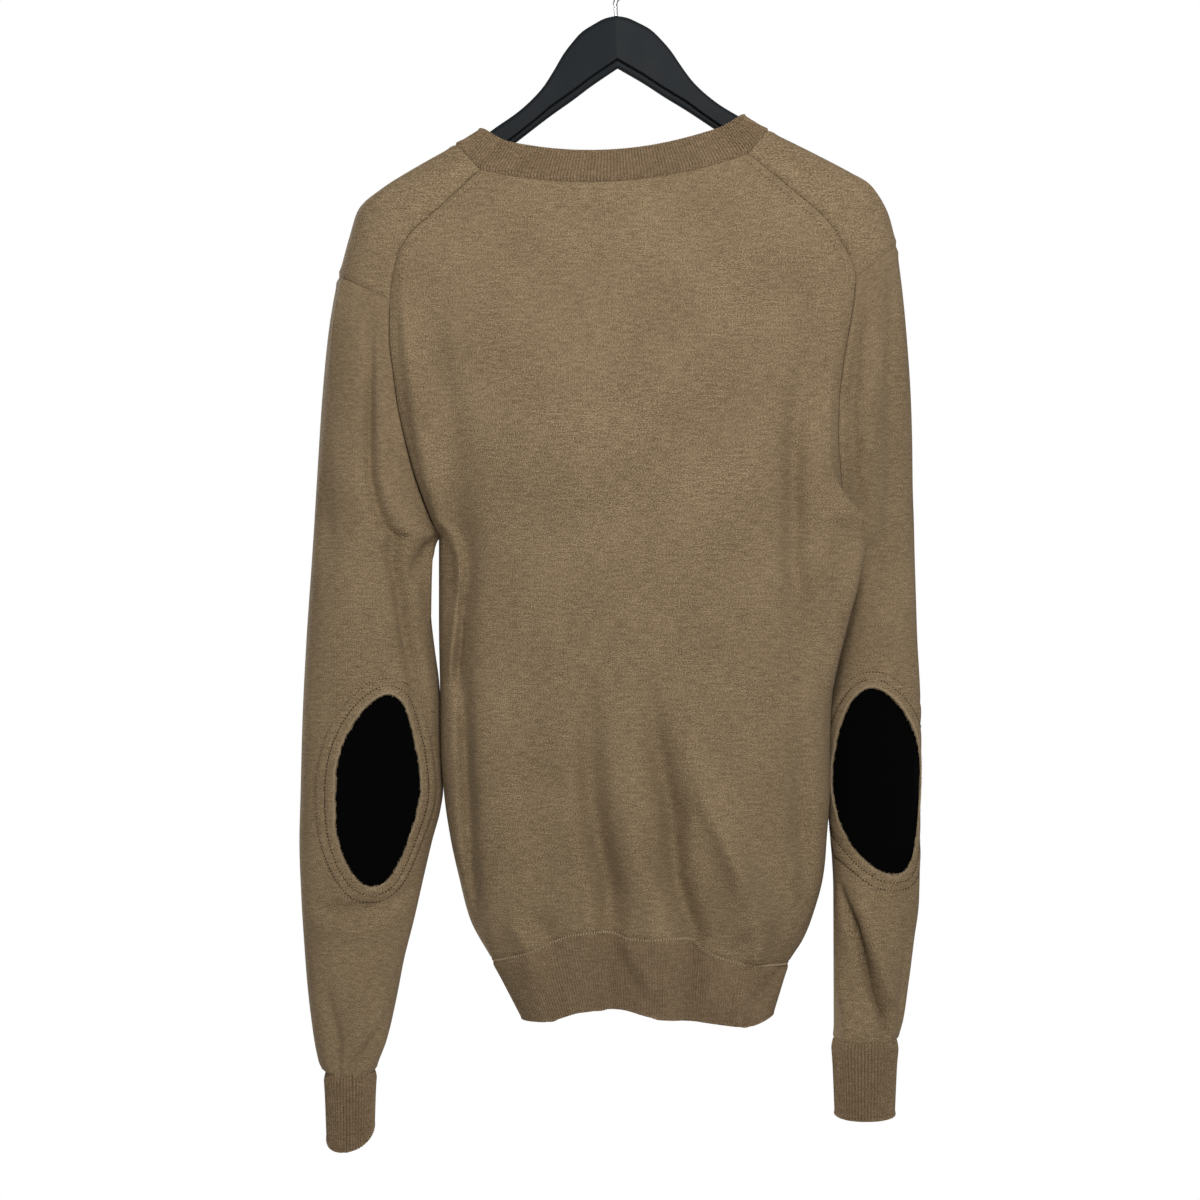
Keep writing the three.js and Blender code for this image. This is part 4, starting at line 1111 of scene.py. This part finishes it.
def round_the_hole(sleeve, beyond, lift, uneven=0.0):
    """A closed line that keeps its distance from the cut-out."""
    hole = sleeve.hole
    wide = flattened(hole["half"]) * sleeve.girth
    turn = np.linspace(0, 2 * np.pi, 721)
    radius = 1 + beyond * np.hypot(np.cos(turn) / wide, np.sin(turn) / hole["tall"])
    height = hole["z"] + hole["tall"] * radius * np.sin(turn)
    blunt = 2 * np.where(np.sin(turn) > 0, OVAL_ABOVE, OVAL_BELOW)
    across = wide * radius * np.sign(np.cos(turn)) * np.abs(np.cos(turn)) ** blunt
    c = hole_middle(sleeve, height) + unflattened(across / sleeve.girth)
    rough = np.where(np.cos(turn) < 0, ragged(height, INNER_EDGE),
                     ragged(height, OUTER_EDGE)) * np.abs(np.cos(turn))
    return on_sleeve(sleeve, c + uneven * rough / sleeve.girth, height, lift)


def inside_edge(points, distance, rows, from_last, lift):
    """A line along the rows of a grid that keeps its distance from one of its side edges."""
    first, last = edge_distances(points)
    run = last[:, ::-1] if from_last else first
    grid = points[:, ::-1] if from_last else points
    normal = grid_normals(points)
    normal = normal[:, ::-1] if from_last else normal
    line = np.array([[np.interp(distance, run[r], grid[r, :, k]) for k in range(3)] for r in rows])
    away = np.array([[np.interp(distance, run[r], normal[r, :, k]) for k in range(3)] for r in rows])
    away = unit(away)
    return line + away * lift, away


for hand, sleeve in SLEEVES.items():
    rows = [round_the_hole(sleeve, beyond, -0.15) for beyond in STITCH_ROWS]
    stitched(f"stitching_round_cut_out_{hand}", rows, 2.5, 1.4, 1.05, material=thread_and_painted_hole_shade)
    torn = [round_the_hole(sleeve, 0.2, 0.25, 1), round_the_hole(sleeve, -0.5, -0.3, 1)]
    stitched(f"torn_edge_{hand}", torn, 0.9, 2.1, 0.36, turn=1.2, stray=1.0, material=loose_yarn)

shoulder_rows = np.arange(round(BACK_STEPS[0] * BELOW_SHOULDER) + 6, BACK_STEPS[0] - 3)
marks = [inside_edge(back_edges, 7.5, shoulder_rows, side, 0.35) for side in (False, True)]
stitched("fashioning_marks", marks, 3.6, 2.3, 0.7, turn=0.9, material=mark_yarn)
hem_row, hem_away = back_edges[0], grid_normals(back_edges)[0]
stitched("linking_at_the_hem", [(hem_row + hem_away * 0.75 + np.array([0, 0, 0.5]), hem_away)], 2.1, 2.3,
         0.65,
         turn=1.3, material=link_yarn)


# ------------------------------------------------------------------ hanger
hanger_upper = through((0, -58), (8, -59.4), (17, -63.4), (26, -68.5), (34, -76.5), (41, -85), (48, -96),
                       (58, -110),
                       (75, -125.5), (95, -138.5), (120, -156), (165, -184.5), (183, -197), (190, -208))
hanger_lower = through((0, -97), (20, -109), (34, -118.5), (52, -130), (75, -146), (95, -160), (120, -178),
                       (165, -208), (183, -220), (190, -214))
hanger_thick = through((0, 15), (40, 15), (75, 16), (110, 18), (140, 24), (170, 29), (184, 24), (190, 10))
hanger_sweep = through((0, -8), (25, -4.5), (60, -1), (190, 6))
HANGER_ROLL = math.radians(2)  # the hanger hangs a little out of level
TOP_ROUND = 5.0                # radius along its upper edge
STRIP = 5.5                    # height of the strip set in along its lower edge
STRIP_DEPTH = 3.6


def rolled(x, y, z):
    c, s = math.cos(HANGER_ROLL), math.sin(HANGER_ROLL)
    return np.stack([x * c - z * s, y, z * c + x * s], -1)


def build_hanger():
    reach = np.concatenate([[0, 0.5, 1.2, 2.5], np.linspace(5, 180, 60), [183, 185.5, 187.5, 189, 190]])
    x = np.concatenate([-reach[:0:-1], reach])
    away = np.abs(x)
    tall = hanger_upper(away) - hanger_lower(away)
    half, strip = hanger_thick(away) / 2, np.minimum(STRIP, 0.2 * tall)
    round_top = np.minimum(TOP_ROUND, half * 0.9)
    turn = np.linspace(0, np.pi / 2, 9)
    # Depths of the section's points below its upper edge, from the top's rounding down to the set-in strip.
    below = [round_top * (1 - math.cos(t)) for t in turn]
    foot = [tall - strip - d for d in (3.0, 0.9, 0.3)] + [tall - strip + d for d in (0.3, 0.9)] + [
        tall - 1.2, tall - 0.5, tall - 0.12, tall]
    middle = [mix(below[-1], foot[0], k / 5) for k in range(1, 5)]
    depth_list = np.stack(below + middle + foot)
    into_top = np.clip(round_top - depth_list, 0, None)
    width = half - round_top + np.sqrt(np.maximum(round_top ** 2 - into_top ** 2, 0))
    above_foot = tall - depth_list
    groove = 0.8 * bump(above_foot - strip, 0.5)
    width = width - STRIP_DEPTH * (1 - smooth(-0.5, 0.5, above_foot - strip)) - groove
    width = width - 1.0 * power(1 - above_foot / 1.2, 2)
    z = hanger_upper(away) - depth_list
    sweep = hanger_sweep(away)
    behind = np.stack([np.broadcast_to(x, z.shape), sweep - width, z], -1)
    ahead = np.stack([np.broadcast_to(x, z.shape), sweep + width, z], -1)[::-1]
    loop = np.concatenate([behind, ahead, behind[:1]])
    loop = rolled(loop[..., 0], loop[..., 1], loop[..., 2])
    piece = Piece("hanger_moulded").grid(loop, 0, 0, flip=True)
    for end, flip in ((0, False), (-1, True)):
        side = loop[:-1, end]
        centre = np.broadcast_to(side.mean(0), side.shape)
        ring = np.stack([np.concatenate([centre, centre[:1]]), np.concatenate([side, side[:1]])])
        piece.grid(ring, 0, 0, flip=flip)
    made = piece.mesh()
    made.data.materials.append(plastic)
    made.data.set_sharp_from_angle(angle=math.radians(35))
    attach(made, "root")
    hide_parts("hanger_body")


WIRE = 3.6
HOOK_RADIUS = 19


def build_hook():
    """Bent wire: a straight shank out of the crown, a turn aside, and a hook for the rod, its end rounded."""
    middle = HOOK_RADIUS + WIRE / 2
    turn = np.radians(np.linspace(-62, 196, 90))
    arc = np.stack([middle * np.cos(turn), -HOOK_RADIUS + middle * np.sin(turn)], -1)
    s = np.linspace(0, 1, 18)[:, None]
    start, end = np.array([0, -47.0]), arc[0]
    lead, trail = np.array([0, 11.0]), 15 * np.array([-math.sin(turn[0]), math.cos(turn[0])])
    bend = ((2 * s ** 3 - 3 * s ** 2 + 1) * start + (s ** 3 - 2 * s ** 2 + s) * lead
            + (3 * s ** 2 - 2 * s ** 3) * end + (s ** 3 - s ** 2) * trail)
    line = np.concatenate([[[0, -69.0], [0, -60.0], [0, -50.0]], bend, arc[1:]])
    along = unit(np.gradient(line, axis=0))
    sizes = np.full(len(line), WIRE / 2)
    tip = np.radians(np.linspace(12, 88, 6))
    line = np.concatenate([line, line[-1] + along[-1] * WIRE / 2 * np.sin(tip)[:, None]])
    along = np.concatenate([along, np.repeat(along[-1:], len(tip), 0)])
    sizes = np.concatenate([sizes, WIRE / 2 * np.cos(tip)])
    round_wire = np.linspace(0, 2 * np.pi, 25)[None, :]
    across = sizes[:, None] * np.cos(round_wire)
    x = line[:, :1] + across * along[:, 1:]
    z = line[:, 1:] - across * along[:, :1]
    y = sizes[:, None] * np.sin(round_wire)
    points = rolled(x, y, z)
    points[:, -1] = points[:, 0]
    piece = Piece("hook_wire").grid(points, 0, 0)
    for end, flip in ((0, False), (-1, True)):
        centre = np.broadcast_to(points[end, :-1].mean(0), points[end].shape)
        piece.grid(np.stack([centre, points[end]]), 0, 0, flip=flip)
    made = piece.mesh()
    made.data.materials.append(steel)
    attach(made, "root")
    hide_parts("hanger_hook")


build_hanger()
build_hook()

# ------------------------------------------------------------------ stage, light and camera
EYE_DISTANCE = 2.0             # from the camera to the middle of the sweater
EYE_HEIGHT = -0.4996           # the camera looks level, at about the middle of the back
EYE_ACROSS = -0.0099
VIEW_WIDTH = 0.912             # width that the camera sees at that distance
FLOOR = -1.45
FLOOR_RADIUS = 2.1
FLOOR_CLEAR = 0.35             # radius within which the floor is plain


def build_floor():
    """A round, pale floor below the sweater."""
    mesh = bpy.data.meshes.new("floor")
    ring = [(FLOOR_RADIUS * math.cos(a), FLOOR_RADIUS * math.sin(a), FLOOR)
            for a in np.linspace(0, 2 * math.pi, 97)[:-1]]
    mesh.from_pydata(ring, [], [tuple(range(len(ring)))])
    made = linked("floor", mesh)
    material, tree = new_material("pale matt studio floor")
    place = add(tree, "ShaderNodeTexCoord").outputs["Object"]
    grain = add(tree, "ShaderNodeTexNoise", {"Vector": place, "Scale": 40.0, "Detail": 4.0}).outputs["Fac"]
    rough = add(tree, "ShaderNodeMapRange", {"Value": grain, "To Min": 0.85, "To Max": 0.95}).outputs[0]
    shader = add(tree, "ShaderNodeBsdfPrincipled", {"Base Color": linear("#fbfbf9"), "Roughness": rough})
    # Away from the sweater the floor fades into the white surround.
    reach = add(tree, "ShaderNodeVectorMath", {0: place, 1: (0, 0, FLOOR)},
                operation="DISTANCE").outputs["Value"]
    fade = add(tree, "ShaderNodeMapRange", {"Value": reach, "From Min": FLOOR_CLEAR,
                                            "From Max": FLOOR_RADIUS * 0.95},
               interpolation_type="SMOOTHSTEP").outputs[0]
    seen = math_node(tree, "MULTIPLY", fade, add(tree, "ShaderNodeLightPath").outputs["Is Camera Ray"])
    white = add(tree, "ShaderNodeEmission", {"Color": linear("#ffffff"), "Strength": 1.0}).outputs[0]
    blend = add(tree, "ShaderNodeMixShader", {0: seen, 1: shader.outputs[0], 2: white}).outputs[0]
    add(tree, "ShaderNodeOutputMaterial", {"Surface": blend})
    mesh.materials.append(material)


def area_light(name, place, aim, size, watts):
    light = bpy.data.lights.new(name, "AREA")
    light.shape = "DISK"
    light.size = size
    light.energy = watts
    made = linked(name, light)
    made.location = place
    made.rotation_euler = (Vector(aim) - Vector(place)).to_track_quat("-Z", "Y").to_euler()


def build_light():
    """A soft light above the back, just right of its middle, a weak one on the left, a strong one before the
    chest on the left, and a white surround."""
    area_light("softbox above", (0.2, -1.35, 0.4), (0, 0, -0.3), 0.6, 19.5)
    area_light("softbox left", (-1.5, -1.0, 0.4), (0, 0, EYE_HEIGHT), 0.7, 3.5)
    area_light("softbox in front", (-1.5, 1.8, 0.1), (0, 0, EYE_HEIGHT), 0.7, 42)
    world = bpy.data.worlds.new("studio")
    world.use_nodes = True
    tree = world.node_tree
    tree.nodes.clear()
    seen = add(tree, "ShaderNodeBackground", {"Color": linear("#ffffff"), "Strength": 1.0}).outputs[0]
    # The room is brighter on the right and above than on the left and below.
    way = add(tree, "ShaderNodeSeparateXYZ", {0: add(tree, "ShaderNodeTexCoord").outputs["Generated"]})
    lean = math_node(tree, "MULTIPLY_ADD", way.outputs["Z"], 0.5, way.outputs["X"])
    room = add(tree, "ShaderNodeMapRange", {"Value": lean, "From Min": -0.35, "From Max": 0.45,
                                            "To Min": 0.10,
                                           "To Max": 0.42}, interpolation_type="SMOOTHSTEP").outputs[0]
    cast = add(tree, "ShaderNodeBackground", {"Color": linear("#ffffff"), "Strength": room}).outputs[0]
    ray = add(tree, "ShaderNodeLightPath").outputs["Is Camera Ray"]
    blend = add(tree, "ShaderNodeMixShader", {0: ray, 1: cast, 2: seen}).outputs[0]
    add(tree, "ShaderNodeOutputWorld", {"Surface": blend})
    bpy.context.scene.world = world


def build_camera():
    data = bpy.data.cameras.new("camera")
    data.lens = data.sensor_width * EYE_DISTANCE / VIEW_WIDTH
    data.clip_end = 60
    made = linked("camera", data)
    made.location = (EYE_ACROSS, -EYE_DISTANCE, EYE_HEIGHT)
    made.rotation_euler = (math.pi / 2, 0, 0)
    bpy.context.scene.camera = made


build_floor()
build_light()
build_camera()
bpy.context.scene.view_settings.view_transform = "Standard"
